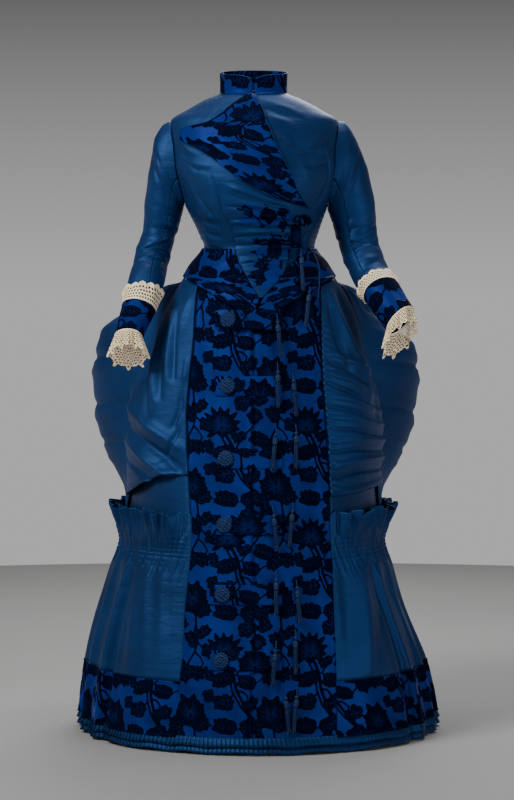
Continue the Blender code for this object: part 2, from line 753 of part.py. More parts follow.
SMOOTH_PART_END = 58.0
SMOOTH_COLUMNS = 5
FLOUNCE_LIFT = smooth_curve([(-0.872, 0.036), (-0.925, 0.018), (-0.948, 0.010), (-0.968, 0.012),
                             (-1.010, 0.024), (-1.110, 0.021), (-1.200, 0.015), (-1.348, 0.012)])
GATHER_DEPTH = smooth_curve([(-0.872, 0.008), (-0.925, 0.003), (-0.948, 0.0008), (-0.968, 0.002),
                             (-1.060, 0.009), (-1.200, 0.008), (-1.318, 0.004)])
FLOUNCE_ROWS = (HEADING_TOP, -0.915, SHIRRING, -1.005, -1.100, BORDER_TOP + 0.0006)
BORDER_ROWS = (BORDER_TOP, BORDER_BOTTOM)
FLOUNCE_GAP = 0.35
HEM_SEAT = 0.0022


def hem_angles():
    """Columns of one side of the flounce: a smooth part, then three to each gather."""
    smooth = np.linspace(0.0, 1.0, SMOOTH_COLUMNS, endpoint=False)
    gathers = np.linspace(SMOOTH_PART_END, 179.85, 3 * FLOUNCE_GATHERS + 1)
    return smooth, gathers


def hem_lift(angle, height):
    """Outer face of the flounce, border and frill without their gathers."""
    near = np.where(angle > 0, panel_edge(1, height), -panel_edge(-1, height))
    return HEM_SEAT + FLOUNCE_LIFT(height) * ease((np.abs(angle) - near) / 13)


def gather_lift(angle, height):
    """Soft gathers, which start where the smooth side front ends."""
    turn = np.abs(angle)
    phase = (turn - SMOOTH_PART_END) / (180 - SMOOTH_PART_END) * (FLOUNCE_GATHERS - 0.5) * 2 * math.pi
    uneven = 0.75 + 0.25 * np.sin(turn * 0.21 + 1.0)
    return GATHER_DEPTH(height) * np.cos(phase) * uneven * ease((turn - SMOOTH_PART_END + 4) / 10)


def make_flounces():
    """Gathered flounce with its standing heading, and the velvet border below it."""
    smooth, gathers = hem_angles()
    for word, side in (("right", -1), ("left", 1)):
        tiers = (("flounce", FLOUNCE_ROWS, satin()), ("hem_border", BORDER_ROWS, velvet()))
        for name, heights, finish in tiers:
            level = np.repeat(np.array(heights)[:, None], len(smooth) + len(gathers), axis=1)
            edge = np.abs(panel_edge(side, level[:, :1])) + FLOUNCE_GAP
            front = edge + (SMOOTH_PART_END - edge) * smooth[None, :]
            back = np.repeat(gathers[None, :], len(heights), axis=0)
            angle = np.hstack((front, back)) * side
            points = laid(angle, level, hem_lift(angle, level) + gather_lift(angle, level))
            if side < 0:
                points = points[:, ::-1]
            cloth(f"{name}_{word}", points, finish)


FRILL_DEPTH = 0.0032
FRILL_SEAM = 0.0008


def make_frill():
    """Knife-pleated frill all round below the border and the front panel."""
    angles = np.linspace(0, 360, 2 * FRILL_PLEATS + 1)

    def lift(angle, height, drop):
        wrapped = np.where(angle > 180, angle - 360, angle)
        pleat = np.where(np.round(angle / 360 * 2 * FRILL_PLEATS) % 2 > 0, 1.0, -1.0)
        return hem_lift(wrapped, height) + FRILL_DEPTH * pleat

    band("hem_frill", satin(), angles, fixed(BORDER_BOTTOM - FRILL_SEAM), fixed(FRILL_BOTTOM), 1, lift,
         closed=True)


def button_x(height):
    """The column of buttons leans slightly outwards towards the hem."""
    return BUTTON_X + BUTTON_DRIFT * (height - BUTTON_HEIGHTS[0])


def tab_lift(height):
    """The first tab lies on the points of the hip panels, the others on the skirt."""
    return LIFT_TAB + (LIFT_TRIM if height > HIP_ROWS[-1] else 0.0)


def make_closing():
    """Six buttons, each on a velvet tab across the centre opening."""
    for k, middle in enumerate(BUTTON_HEIGHTS, start=1):
        lift = tab_lift(middle)
        rows = (middle + TAB_HALF_HEIGHT, middle - TAB_HALF_HEIGHT)
        x = button_x(middle)
        panel(f"tab_{k}", velvet(), rows,
              lambda height, x=x: (angle_at(x - TAB_START, height), angle_at(TAB_REACH, height)), 5,
              fixed(lift))
        shape = bmesh.new()
        rings = []
        for share, width in BUTTON_PROFILE:
            radius = BUTTON_RADIUS * width
            ring = bmesh.ops.create_circle(shape, cap_ends=False, segments=14, radius=radius)["verts"]
            bmesh.ops.translate(shape, vec=(0, 0, share * BUTTON_DEPTH), verts=ring)
            rings.append(ring)
        for low, high in zip(rings, rings[1:]):
            for i in range(len(low)):
                j = (i + 1) % len(low)
                shape.faces.new((low[i], low[j], high[j], high[i]))
        shape.faces.new(rings[0][::-1])
        shape.faces.new(rings[-1])
        mesh = bpy.data.meshes.new(f"button_{k}")
        shape.to_mesh(mesh)
        shape.free()
        mesh.shade_smooth()
        button = new_object(f"button_{k}", mesh, passementerie())
        angle = angle_at(x, np.array(middle))
        outward = body_normal(angle, np.array(middle))
        button.location = laid(angle, np.array(middle), lift + BUTTON_SEAT)
        flat = math.hypot(outward[0], outward[1])
        button.rotation_euler = (math.atan2(flat, outward[2]), 0.0, math.atan2(outward[0], -outward[1]))


# Tassel rings: distance below the ball's top, radius (metres)
TASSEL_PROFILE = ((0.000, 0.0014), (0.003, 0.0040), (0.0065, 0.0016), (0.010, 0.0034), (0.022, 0.0040))
TASSEL_SIDES = 5
STRAND_LENGTH = 0.056
STRAND_GAP = 0.0004
CORD_RADIUS = 0.0013
TASSEL_CLEAR = 0.0025
TASSEL_GAP = 0.00025
HIP_CLEAR = 0.0016


def seat_under(x, height):
    """Lift of what lies under a place on the front: hip panel, tab or skirt."""
    if height > HIP_ROWS[-1]:
        return LIFT_TRIM + HIP_CLEAR
    for middle in BUTTON_HEIGHTS:
        if abs(height - middle) < TAB_HALF_HEIGHT + TASSEL_CLEAR and x < TAB_REACH + 2 * TASSEL_CLEAR:
            return tab_lift(middle)
    return LIFT_SKIRT


def make_tassel(name, x, top, cord, closer):
    """Cord, ball and head, with strands drawn down from the head's underside."""
    length = cord + TASSEL_PROFILE[-1][0] + STRAND_LENGTH
    seat = max(seat_under(x, top - length * share) for share in np.linspace(0.1, 1.0, 19))
    lift = seat + TASSEL_PROFILE[-1][1] + 2 * TASSEL_GAP - closer
    first = seat_under(x, top) + CORD_RADIUS + 2 * TASSEL_GAP - closer
    stations = [(0.0, CORD_RADIUS, first), (cord * 0.5, CORD_RADIUS, lift)]
    stations += [(cord + down, radius, lift) for down, radius in TASSEL_PROFILE]
    shape = bmesh.new()
    rings = []
    for down, radius, out in stations:
        height = np.array(top - down)
        angle = angle_at(np.array(x), height)
        middle = laid(angle, height, out)
        outward = body_normal(angle, height)
        across = np.cross(np.array([0.0, 0.0, 1.0]), outward)
        across = across / np.linalg.norm(across)
        ring = []
        for i in range(TASSEL_SIDES):
            turn = 2 * math.pi * i / TASSEL_SIDES
            place = middle + radius * (across * math.cos(turn) + outward * math.sin(turn))
            ring.append(shape.verts.new(place))
        rings.append(ring)
    for high, low in zip(rings, rings[1:]):
        for i in range(TASSEL_SIDES):
            j = (i + 1) % TASSEL_SIDES
            shape.faces.new((high[i], low[i], low[j], high[j]))
    shape.faces.new(rings[0])
    foot = np.mean([list(vert.co) for vert in rings[-1]], axis=0)
    middle = shape.verts.new(foot)
    wedges = []
    for i in range(TASSEL_SIDES):
        j = (i + 1) % TASSEL_SIDES
        wedges.append(shape.faces.new((rings[-1][i], middle, rings[-1][j])))
    bmesh.ops.recalc_face_normals(shape, faces=shape.faces)
    bmesh.ops.inset_individual(shape, faces=wedges, thickness=STRAND_GAP)
    height = np.array(top - stations[-1][0])
    lower = height - STRAND_LENGTH
    strand_foot = laid(angle_at(np.array(x), lower), lower, lift)
    drop = strand_foot - laid(angle_at(np.array(x), height), height, lift)
    for face in wedges:
        grown = bmesh.ops.extrude_discrete_faces(shape, faces=[face])["faces"]
        for new_face in grown:
            bmesh.ops.translate(shape, vec=drop, verts=new_face.verts)
    bmesh.ops.recalc_face_normals(shape, faces=shape.faces)
    mesh = bpy.data.meshes.new(name)
    shape.to_mesh(mesh)
    shape.free()
    new_object(name, mesh, passementerie())


def make_tassels():
    """Pairs of tassels down the front panel and one at the side of the waist."""
    for k, row in enumerate(FRONT_TASSELS, start=1):
        make_tassel(f"tassel_{k:02d}", *[value * MM for value in row])
    make_tassel("tassel_waist", *[value * MM for value in WAIST_TASSEL])


def main():
    for old in list(bpy.data.objects):
        bpy.data.objects.remove(old, do_unlink=True)
    group = bpy.data.collections.new("afternoon_dress")
    bpy.context.scene.collection.children.link(group)
    make_collar()
    make_bodice()
    make_front_trims()
    make_sleeve("right", SLEEVE_RIGHT, CUFF_RIGHT, -1)
    make_sleeve("left", SLEEVE_LEFT, CUFF_LEFT, 1)
    make_skirt()
    make_swags()
    make_puffs()
    make_flounces()
    make_frill()
    make_closing()
    make_tassels()


main()
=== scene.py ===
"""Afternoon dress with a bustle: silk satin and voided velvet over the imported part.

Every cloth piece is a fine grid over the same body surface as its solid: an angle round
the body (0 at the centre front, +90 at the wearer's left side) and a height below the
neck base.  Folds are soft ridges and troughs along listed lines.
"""

import math

import bpy
import numpy as np
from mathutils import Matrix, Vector


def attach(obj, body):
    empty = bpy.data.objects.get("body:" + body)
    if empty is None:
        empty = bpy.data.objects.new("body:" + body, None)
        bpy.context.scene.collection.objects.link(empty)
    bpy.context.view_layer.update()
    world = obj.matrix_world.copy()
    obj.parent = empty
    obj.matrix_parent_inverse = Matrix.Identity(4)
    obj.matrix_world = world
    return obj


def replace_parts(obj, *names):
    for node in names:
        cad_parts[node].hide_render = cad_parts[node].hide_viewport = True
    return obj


bl_info = {
    "name": "Afternoon dress with bustle",
    "version": (1, 0, 0),
    "blender": (4, 5, 0),
    "location": "3D View > Sidebar > Dress",
    "description": "Satin and velvet dress with its folds, lace, buttons and tassels",
    "category": "Object",
}

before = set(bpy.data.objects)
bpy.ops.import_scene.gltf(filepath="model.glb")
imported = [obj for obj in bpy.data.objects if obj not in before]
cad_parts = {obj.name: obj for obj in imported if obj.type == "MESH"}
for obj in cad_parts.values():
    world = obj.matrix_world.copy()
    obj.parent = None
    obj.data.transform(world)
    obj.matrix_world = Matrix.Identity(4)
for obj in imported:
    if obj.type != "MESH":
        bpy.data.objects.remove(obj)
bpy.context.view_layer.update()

MM = 0.001
UP = np.array([0.0, 0.0, 1.0])
# Heights that the pieces share, metres below the neck base
NECK = -0.004
NECK_TILT = 0.008
SHOULDER_POINT = -0.063
UNDERARM = -0.237
BASQUE_SIDE = -0.385
HEADING_TOP = -0.872
BORDER_TOP = -1.208
BORDER_BOTTOM = -1.318
FRILL_BOTTOM = -1.348

# How far the outer face of each layer lies from the body surface
LIFT_BODICE = 0.0026
LIFT_TRIM = 0.0066
LIFT_PLASTRON = 0.0076
LIFT_TAB = 0.0025
LIFT_STRAP = 0.0052

# Body sections, mm: height, half width, front, back, middle x, middle y
BODY = (
    (45, 66, -56, 62, -1, 2),
    (-4, 67, -60, 68, -1, 2),
    (-20, 100, -74, 84, -1, 3),
    (-40, 137, -86, 97, 0, 4),
    (-63, 172, -97, 107, 0, 5),
    (-90, 177, -107, 112, 1, 5),
    (-125, 176, -117, 112, 1, 4),
    (-160, 173, -128, 108, 2, 2),
    (-189, 165, -133, 103, 3, 0),
    (-237, 147, -127, 95, 5, -2),
    (-292, 124, -107, 86, 9, 0),
    (-325, 113, -97, 83, 11, 0),
    (-360, 135, -112, 108, 11, 4),
    (-384, 149, -125, 138, 11, 8),
    (-430, 174, -143, 185, 10, 14),
    (-500, 201, -160, 215, 8, 20),
    (-600, 225, -177, 232, 4, 30),
    (-700, 243, -195, 240, 2, 40),
    (-850, 259, -220, 265, -1, 50),
    (-950, 272, -236, 300, -4, 60),
    (-1220, 352, -286, 445, 6, 90),
    (-1360, 374, -308, 480, 9, 95),
)

ARMHOLE_MIDDLE = (SHOULDER_POINT + UNDERARM) / 2
ARMHOLE_HALF = (SHOULDER_POINT - UNDERARM) / 2
ARMHOLE_DEPTH = 0.045

# Front trims, mm: height, left edge x, right edge x as seen from the front
PLASTRON = (
    (-14, -14, 4), (-23, -29, 6), (-42, -55, 17), (-69, -95, 25), (-82, -146, 31),
    (-101, -149, 38), (-122, -118, 46), (-143, -86, 57), (-164, -59, 67),
    (-185, -31, 78), (-206, 8, 86), (-221, 36, 94), (-243, 103, 108),
)
WAIST_DRAPE = (
    (-192, -63, -40), (-206, -67, -5), (-223, -66, 30), (-250, -62, 72),
    (-281, -42, 72), (-327, -36, 72), (-374, -21, 62), (-430, 10, 17),
)
HIP_PANEL_RIGHT = (
    (-330, -105, -38), (-352, -124, -34), (-361, -132, -30), (-386, -144, -17),
    (-410, -108, -3), (-430, -75, 9), (-455, -33, 6), (-482, -6, 1),
)
HIP_PANEL_LEFT = (
    (-330, 94, 128), (-352, 84, 146), (-361, 76, 153), (-386, 57, 166),
    (-410, 37, 126), (-430, 19, 88), (-455, 8, 48), (-482, 3, 14),
)
FRONT_PANEL = (
    (-345, -98, 118), (-433, -117, 135), (-525, -123, 137), (-597, -130, 139),
    (-672, -136, 145), (-783, -134, 152), (-911, -127, 156), (-992, -133, 161),
    (-1071, -141, 163), (-1154, -145, 166), (-1203, -151, 167), (-1318, -158, 168),
)

# Sleeve rings, mm: outer x, outer z, inner x, inner z, middle y, half depth
SLEEVE_RIGHT = (
    (-208, -97, -148, -244, 6, 46),
    (-218, -155, -150, -252, 8, 44),
    (-227, -216, -153, -265, 11, 42),
    (-234, -288, -160, -288, 13, 39),
    (-248, -334, -174, -336, 6, 38),
    (-255, -370, -181, -363, -12, 38),
    (-263, -401, -186, -393, -42, 36),
    (-273, -445, -206, -462, -84, 33),
)
SLEEVE_LEFT = (
    (204, -82, 154, -248, 6, 46),
    (227, -132, 158, -258, 8, 44),
    (244, -189, 163, -273, 11, 42),
    (256, -262, 170, -296, 13, 39),
    (259, -307, 181, -334, 6, 38),
    (271, -344, 195, -372, -12, 38),
    (286, -382, 214, -410, -42, 36),
    (299, -401, 231, -437, -84, 33),
)
CUFF_RIGHT = ((-278, -444, -208, -464, -85, 36), (-288, -508, -230, -510, -128, 30))
CUFF_LEFT = ((303, -399, 229, -438, -85, 36), (325, -447, 275, -500, -128, 30))
SLEEVE_SEAM_ANGLE = 112
# Lowest point of the hip panels
HIP_TIP = -0.482

# Bustle puff, mm: height, reach to the side, reach to the back
PUFF = (
    (-395, 158, 160), (-430, 205, 240), (-505, 300, 350), (-546, 334, 392),
    (-590, 350, 415), (-640, 354, 424), (-690, 350, 418), (-760, 332, 390),
    (-810, 302, 345), (-858, 266, 283),
)
PUFF_EDGE_ANGLE = 86

BUTTON_HEIGHTS = (-0.475, -0.609, -0.756, -0.890, -1.030, -1.161)
BUTTON_X = -0.051
BUTTON_DRIFT = 0.0225
BUTTON_RADIUS = 0.0168
TAB_HALF_HEIGHT = 0.020
TAB_REACH = 0.056
TAB_START = -0.026

# Tassels, mm: x, height of the cord's top, length of cord above the ball
FRONT_TASSELS = (
    (44, -462, 16), (108, -410, 8), (47, -560, 18), (77, -580, 16),
    (44, -690, 16), (84, -686, 16), (37, -850, 18), (78, -844, 16),
    (43, -979, 18), (84, -1000, 14), (44, -1120, 18), (82, -1098, 16),
    (62, -1220, 12), (86, -1218, 12),
)
WAIST_TASSEL = (90, -330, 14)

FLOUNCE_GATHERS = 11
LACE_WAVES = 8


def smooth_curve(points):
    """Curve through (position, value) rows, with no overshoot between rows."""
    rows = sorted(points)
    xs = np.array([row[0] for row in rows], float)
    ys = np.array([row[1] for row in rows], float)
    steps = np.diff(xs)
    slopes = np.diff(ys) / steps
    tangents = np.zeros(len(xs))
    tangents[0] = slopes[0]
    tangents[-1] = slopes[-1]
    for i in range(1, len(xs) - 1):
        if slopes[i - 1] * slopes[i] > 0:
            early = 2 * steps[i] + steps[i - 1]
            late = steps[i] + 2 * steps[i - 1]
            tangents[i] = (early + late) / (early / slopes[i - 1] + late / slopes[i])

    def curve(at):
        at = np.clip(np.asarray(at, float), xs[0], xs[-1])
        i = np.clip(np.searchsorted(xs, at) - 1, 0, len(steps) - 1)
        t = (at - xs[i]) / steps[i]
        a = (1 + 2 * t) * (1 - t) ** 2 * ys[i] + t * (1 - t) ** 2 * steps[i] * tangents[i]
        b = t * t * (3 - 2 * t) * ys[i + 1] + t * t * (t - 1) * steps[i] * tangents[i + 1]
        return a + b

    return curve


def columns_of(table):
    """One smooth curve of height for each column after the first, in metres."""
    return [smooth_curve([(row[0] * MM, row[k] * MM) for row in table]) for k in range(1, len(table[0]))]


BODY_HALF, BODY_FRONT, BODY_BACK, BODY_X, BODY_Y = columns_of(BODY)
PUFF_SIDE, PUFF_BACK = columns_of(PUFF)


def ease(t):
    """Soft step from 0 to 1."""
    t = np.clip(t, 0.0, 1.0)
    return t * t * (3 - 2 * t)


def bell(distance, width):
    """Soft bump of height 1 at distance 0."""
    return np.exp(-(distance / width) ** 2)


def body_point(angle, height):
    """Point of the body surface at an angle in degrees and a height."""
    turn = np.radians(angle)
    middle = BODY_Y(height)
    depth = np.where(np.cos(turn) > 0, middle - BODY_FRONT(height), BODY_BACK(height) - middle)
    x = BODY_X(height) + BODY_HALF(height) * np.sin(turn)
    y = middle - depth * np.cos(turn)
    return np.stack((x, y, np.broadcast_to(height, x.shape)), axis=-1)


def body_normal(angle, height):
    """Outward direction of the body surface."""
    across = body_point(angle + 0.5, height) - body_point(angle - 0.5, height)
    up = body_point(angle, height + 0.002) - body_point(angle, height - 0.002)
    normal = np.cross(across, up)
    return normal / np.linalg.norm(normal, axis=-1, keepdims=True)


def laid(angle, height, lift):
    """Point at a distance outside the body surface."""
    angle, height = np.broadcast_arrays(np.asarray(angle, float), np.asarray(height, float))
    lift = np.broadcast_to(lift, angle.shape)
    return body_point(angle, height) + body_normal(angle, height) * lift[..., None]


def angle_at(x, height):
    """Angle of the front surface at a given x."""
    return np.degrees(np.arcsin(np.clip((x - BODY_X(height)) / BODY_HALF(height), -0.999, 0.999)))


def neckline(angle):
    """Height of the neck seam, lower at the front than at the back."""
    return NECK - NECK_TILT * np.cos(np.radians(angle))


def armhole_angle(height, back):
    """Angle of the armhole's edge at a height, 90 degrees above and below it."""
    part = np.clip((height - ARMHOLE_MIDDLE) / ARMHOLE_HALF, -1.0, 1.0)
    reach = ARMHOLE_DEPTH * np.sqrt(1 - part ** 2)
    if back:
        return 180 - np.degrees(np.arccos(reach / (BODY_BACK(height) - BODY_Y(height))))
    return np.degrees(np.arccos(reach / (BODY_Y(height) - BODY_FRONT(height))))


def table_edges(table):
    """Edge angles from a table of heights and front x values."""
    left, right = columns_of(table)

    def edges(height):
        return angle_at(left(height), height), angle_at(right(height), height)

    return edges


# One repeat of the velvet's pattern, mm.  Directions are in degrees, 0 to the right and
# 90 upwards on the cloth.
REPEAT_WIDTH = 183
REPEAT_HEIGHT = 231
# Flowers seen from the side: base x, base y, direction, spread, petals, length, width,
# how uneven, bend
FLOWERS = (
    (38, 64, 92, 112, 21, 48, 9.5, 0.26, 0.10),
    (38, 64, 92, 70, 11, 33, 9.0, 0.10, 0.05),
    (38, 64, 270, 60, 5, 22, 9.0, 0.20, -0.12),
    (150, 190, 96, 84, 11, 46, 15.0, 0.16, 0.14),
    (150, 190, 96, 48, 5, 34, 13.0, 0.05, 0.06),
    (150, 190, 276, 100, 8, 28, 13.0, 0.22, -0.10),
    (112, 42, 110, 96, 9, 24, 9.5, 0.12, 0.16),
    (112, 42, 290, 64, 4, 14, 8.0, 0.10, 0.0),
)
# Stems: width at the start and at the end, then the points along them
STEMS = (
    (5.4, 4.0, (38, 66), (50, 84), (60, 104), (66, 134), (80, 164), (99, 190)),
    (2.6, 2.6, (30, 70), (42, 92), (53, 110), (58, 138), (73, 168), (95, 192)),
    (2.4, 1.6, (67, 136), (80, 138), (90, 148), (88, 160), (79, 162), (75, 156)),
    (2.6, 2.2, (61, 142), (54, 150), (46, 158)),
    (2.8, 2.2, (112, 44), (104, 60), (90, 72), (76, 88), (66, 104)),
    (3.0, 2.4, (99, 190), (112, 200), (130, 199), (150, 190)),
    (3.4, 2.4, (150, 190), (158, 210), (160, 236), (152, 262)),
    (3.0, 2.4, (160, 5), (164, 34), (158, 60), (146, 80), (140, 96)),
    (2.4, 2.0, (98, 190), (90, 204), (70, 214)),
    (2.2, 1.8, (160, 36), (172, 48), (186, 52)),
    (2.2, 1.6, (140, 96), (128, 110), (108, 122)),
    (2.0, 1.4, (158, 60), (170, 70), (178, 84), (172, 92), (164, 88)),
)
# Serrated leaves: base x, base y, direction, length, width, pairs of lobes, bend
LEAVES = (
    (66, 214, 166, 52, 34, 4, 0.14), (68, 213, 16, 44, 30, 4, -0.12),
    (112, 122, 174, 44, 30, 4, -0.10), (140, 94, 158, 46, 32, 4, 0.10),
    (142, 98, -14, 40, 30, 3, 0.12), (62, 106, 200, 50, 32, 4, -0.12),
    (160, 52, 118, 36, 26, 3, 0.10), (162, 30, 40, 34, 24, 3, -0.08),
    (146, 84, 250, 40, 28, 3, 0.10), (96, 188, -62, 36, 26, 3, 0.08),
    (56, 152, 196, 40, 28, 3, 0.10), (124, 198, -96, 34, 24, 3, 0.10),
    (158, 214, 20, 34, 26, 3, 0.10), (88, 74, 210, 30, 22, 3, -0.10),
    (100, 204, 236, 30, 22, 3, 0.12), (76, 164, -10, 30, 22, 3, 0.10),
    (12, 118, 100, 30, 22, 3, 0.10), (112, 14, 30, 30, 22, 3, -0.08), (110, 12, 160, 32, 22, 3, 0.1),
)
# Small blossoms: middle x, middle y, radius of a petal, number of petals, direction
BLOSSOMS = (
    (44, 162, 8.5, 5, 90), (186, 56, 8.0, 4, 40), (82, 12, 9.0, 5, 10), (104, 160, 8.0, 4, 20),
    (8, 148, 7.5, 4, 60),
)
# How much fuller each motif is than its drawing, mm
FULLER = 0.9
# Depth of the empty tables, mm, below every motif
EMPTY = -40.0


class Pattern:
    """One repeat of the velvet: how deep each place lies inside a motif, and inside a vein, mm."""

    def __init__(self):
        down, across = np.mgrid[0:REPEAT_HEIGHT, 0:REPEAT_WIDTH].astype(float)
        self.x, self.y = across, down
        self.pile = np.full(across.shape, EMPTY)
        self.vein = np.full(across.shape, EMPTY)

    def away(self, x, y):
        """Way from a place to every point, the shorter way round the repeat."""
        dx = (self.x - x + REPEAT_WIDTH / 2) % REPEAT_WIDTH - REPEAT_WIDTH / 2
        dy = (self.y - y + REPEAT_HEIGHT / 2) % REPEAT_HEIGHT - REPEAT_HEIGHT / 2
        return dx, dy

    def petal(self, x, y, turn, length, width, full=0.6, bend=0.0):
        """Petal or lobe, widest at the share full of its length, with a vein along its middle."""
        dx, dy = self.away(x, y)
        ux, uy = math.cos(math.radians(turn)), -math.sin(math.radians(turn))
        along = dx * ux + dy * uy
        aside = dx * uy - dy * ux - bend * np.clip(along, 0, length) ** 2 / length
        share = np.clip(along / length, 0, 1)
        power = math.log(0.5) / math.log(full)
        half = width / 2 * np.sin(math.pi * share ** power) ** 0.8
        beyond = np.abs(along - np.clip(along, 0, length))
        self.pile = np.maximum(self.pile, half - np.hypot(aside, beyond))
        inner = np.abs(along - np.clip(along, length * 0.15, length * 0.80))
        self.vein = np.maximum(self.vein, 0.55 - np.hypot(aside, inner))

    def stem(self, start, end, *points):
        """Stem along points, from one width to another."""
        total = len(points) - 1
        for k, ((x0, y0), (x1, y1)) in enumerate(zip(points, points[1:])):
            dx, dy = self.away(x0, y0)
            ex, ey = x1 - x0, y1 - y0
            share = np.clip((dx * ex + dy * ey) / (ex * ex + ey * ey), 0, 1)
            wide = start + (end - start) * (k + share) / total
            self.pile = np.maximum(self.pile, wide / 2 - np.hypot(dx - share * ex, dy - share * ey))

    def leaf(self, x, y, turn, length, width, lobes, bend):
        """Middle lobe, and pairs of lobes along it."""
        self.petal(x, y, turn, length, width * 0.42, 0.45, bend)
        for k in range(lobes):
            share = 0.10 + 0.60 * k / max(lobes - 1, 1)
            reach = width * (0.74 - 0.55 * abs(share - 0.36))
            off = bend * share ** 2 * length
            a = math.radians(turn)
            bx = x + math.cos(a) * length * share + math.sin(a) * -off
            by = y - math.sin(a) * length * share - math.cos(a) * off
            for side in (-1, 1):
                self.petal(bx, by, turn + side * (58 - 20 * share), reach, width * 0.34, 0.5, -0.16 * side)

    def blossom(self, x, y, radius, petals, turn):
        """Round petals about a middle, each with a ring of a vein."""
        for k in range(petals):
            a = math.radians(turn + 360 * k / petals)
            dx, dy = self.away(x + radius * math.cos(a), y - radius * math.sin(a))
            far = np.hypot(dx, dy) + 0.8 * np.cos(3 * np.arctan2(dy, dx) + k)
            self.pile = np.maximum(self.pile, radius * 0.88 - far)
            self.vein = np.maximum(self.vein, 0.6 - np.abs(far - radius * 0.5))

    def flower(self, x, y, turn, spread, count, length, width, uneven, bend):
        """Fan of petals from one base, the outer ones shorter."""
        for k in range(count):
            share = (k - (count - 1) / 2) / ((count - 1) / 2)
            reach = length * (1 - 0.26 * abs(share) ** 1.6) * (1 - uneven * (k % 2))
            reach *= 1 + 0.06 * math.sin(k * 2.3)
            self.petal(x, y, turn + spread * share, reach, width, 0.66, bend * share)


def draw_pattern():
    """Tables of the pile and the veins over one repeat."""
    pattern = Pattern()
    for start, end, *points in STEMS:
        pattern.stem(start, end, *points)
    for flower in FLOWERS:
        pattern.flower(*flower)
    for leaf in LEAVES:
        pattern.leaf(*leaf)
    for blossom in BLOSSOMS:
        pattern.blossom(*blossom)
    return pattern.pile + FULLER, pattern.vein


PILE, VEIN = draw_pattern()


def pattern_at(table, across, down):
    """Value of a pattern table at a place on the cloth, mm, between its points."""
    x = np.mod(across, REPEAT_WIDTH)
    y = np.mod(down, REPEAT_HEIGHT)
    x0, y0 = np.floor(x).astype(int), np.floor(y).astype(int)
    fx, fy = x - x0, y - y0
    x0, y0 = x0 % REPEAT_WIDTH, y0 % REPEAT_HEIGHT
    x1, y1 = (x0 + 1) % REPEAT_WIDTH, (y0 + 1) % REPEAT_HEIGHT
    top = table[y0, x0] * (1 - fx) + table[y0, x1] * fx
    low = table[y1, x0] * (1 - fx) + table[y1, x1] * fx
    return top * (1 - fy) + low * fy


def velvet_values(points, origin=(0.0, 0.0), turn=0.0):
    """Pattern and raised pile for a grid of cloth points [row][column], laid flat in mm."""
    wide = np.linalg.norm(np.diff(points, axis=1), axis=-1)
    tall = np.linalg.norm(np.diff(points, axis=0), axis=-1)
    across = np.zeros(points.shape[:2])
    across[:, 1:] = np.cumsum(wide, axis=1)
    across -= across[:, -1:] / 2
    down = np.zeros(points.shape[:2])
    down[1:, :] = np.cumsum(tall.mean(axis=1))[:, None]
    across, down = across / MM, down / MM
    c, s = math.cos(math.radians(turn)), math.sin(math.radians(turn))
    u = across * c - down * s + origin[0]
    v = across * s + down * c + origin[1]
    return {"pile": pattern_at(PILE, u, v), "vein": pattern_at(VEIN, u, v)}


def linear(colour, alpha=1.0):
    """Linear colour of an sRGB hex value."""
    parts = [int(colour[i:i + 2], 16) / 255 for i in (1, 3, 5)]
    return (*[p / 12.92 if p <= 0.04045 else ((p + 0.055) / 1.055) ** 2.4 for p in parts], alpha)


def add(tree, kind, settings=None, **inputs):
    """Adds a shader node with its settings.  An input is a value, or an output to link from;
    i and a number name an input by its place."""
    node = tree.nodes.new("ShaderNode" + kind)
    for name, value in (settings or {}).items():
        setattr(node, name, value)
    for name, value in inputs.items():
        key = int(name[1:]) if name[0] == "i" and name[1:].isdigit() else name.replace("_", " ")
        socket = node.inputs[key]
        if isinstance(value, bpy.types.NodeSocket):
            tree.links.new(value, socket)
        else:
            socket.default_value = value
    return node


def new_finish(name, surface, *colours):
    """Material whose surface is made in its node tree from linear colours."""
    made = bpy.data.materials.new(name)
    made.use_nodes = True
    made.node_tree.nodes.clear()
    add(made.node_tree, "OutputMaterial", Surface=surface(made.node_tree, *colours))
    return made


def shades_of(colour, low, high):
    """A darker and a lighter shade of a linear colour."""
    return (*[c * low for c in colour[:3]], 1.0), (*[c * high for c in colour[:3]], 1.0)


def shaded(tree, colour, dark, light, value, low, high):
    """A colour between its darker and its lighter shade, as a value goes from low to high."""
    share = add(tree, "MapRange", None, Value=value, i1=low, i2=high)
    first, last = shades_of(colour, dark, light)
    return add(tree, "Mix", {"data_type": "RGBA"}, Factor=share.outputs["Result"], i6=first,
               i7=last).outputs[2]


def cloth(tree, bump, **inputs):
    """Surface of a cloth or cord that isn't metal."""
    return add(tree, "BsdfPrincipled", None, Metallic=0.0, Normal=bump.outputs["Normal"],
               **inputs).outputs["BSDF"]


def weave_bump(tree, place, thread_mm, depth_mm):
    """Bump of woven threads that cross."""
    size = 1000 / thread_mm / (2 * math.pi)
    ends = add(tree, "TexWave", {"wave_type": "BANDS", "bands_direction": "X"},
               Vector=place, Scale=size, Distortion=0.6, Detail=1.0)
    picks = add(tree, "TexWave", {"wave_type": "BANDS", "bands_direction": "Z"},
                Vector=place, Scale=size * 0.45, Distortion=0.8, Detail=1.0)
    both = add(tree, "Math", {"operation": "ADD"}, i0=ends.outputs["Fac"], i1=picks.outputs["Fac"])
    return add(tree, "Bump", None, Height=both.outputs["Value"], Strength=0.35,
               Distance=depth_mm * MM).outputs["Normal"]


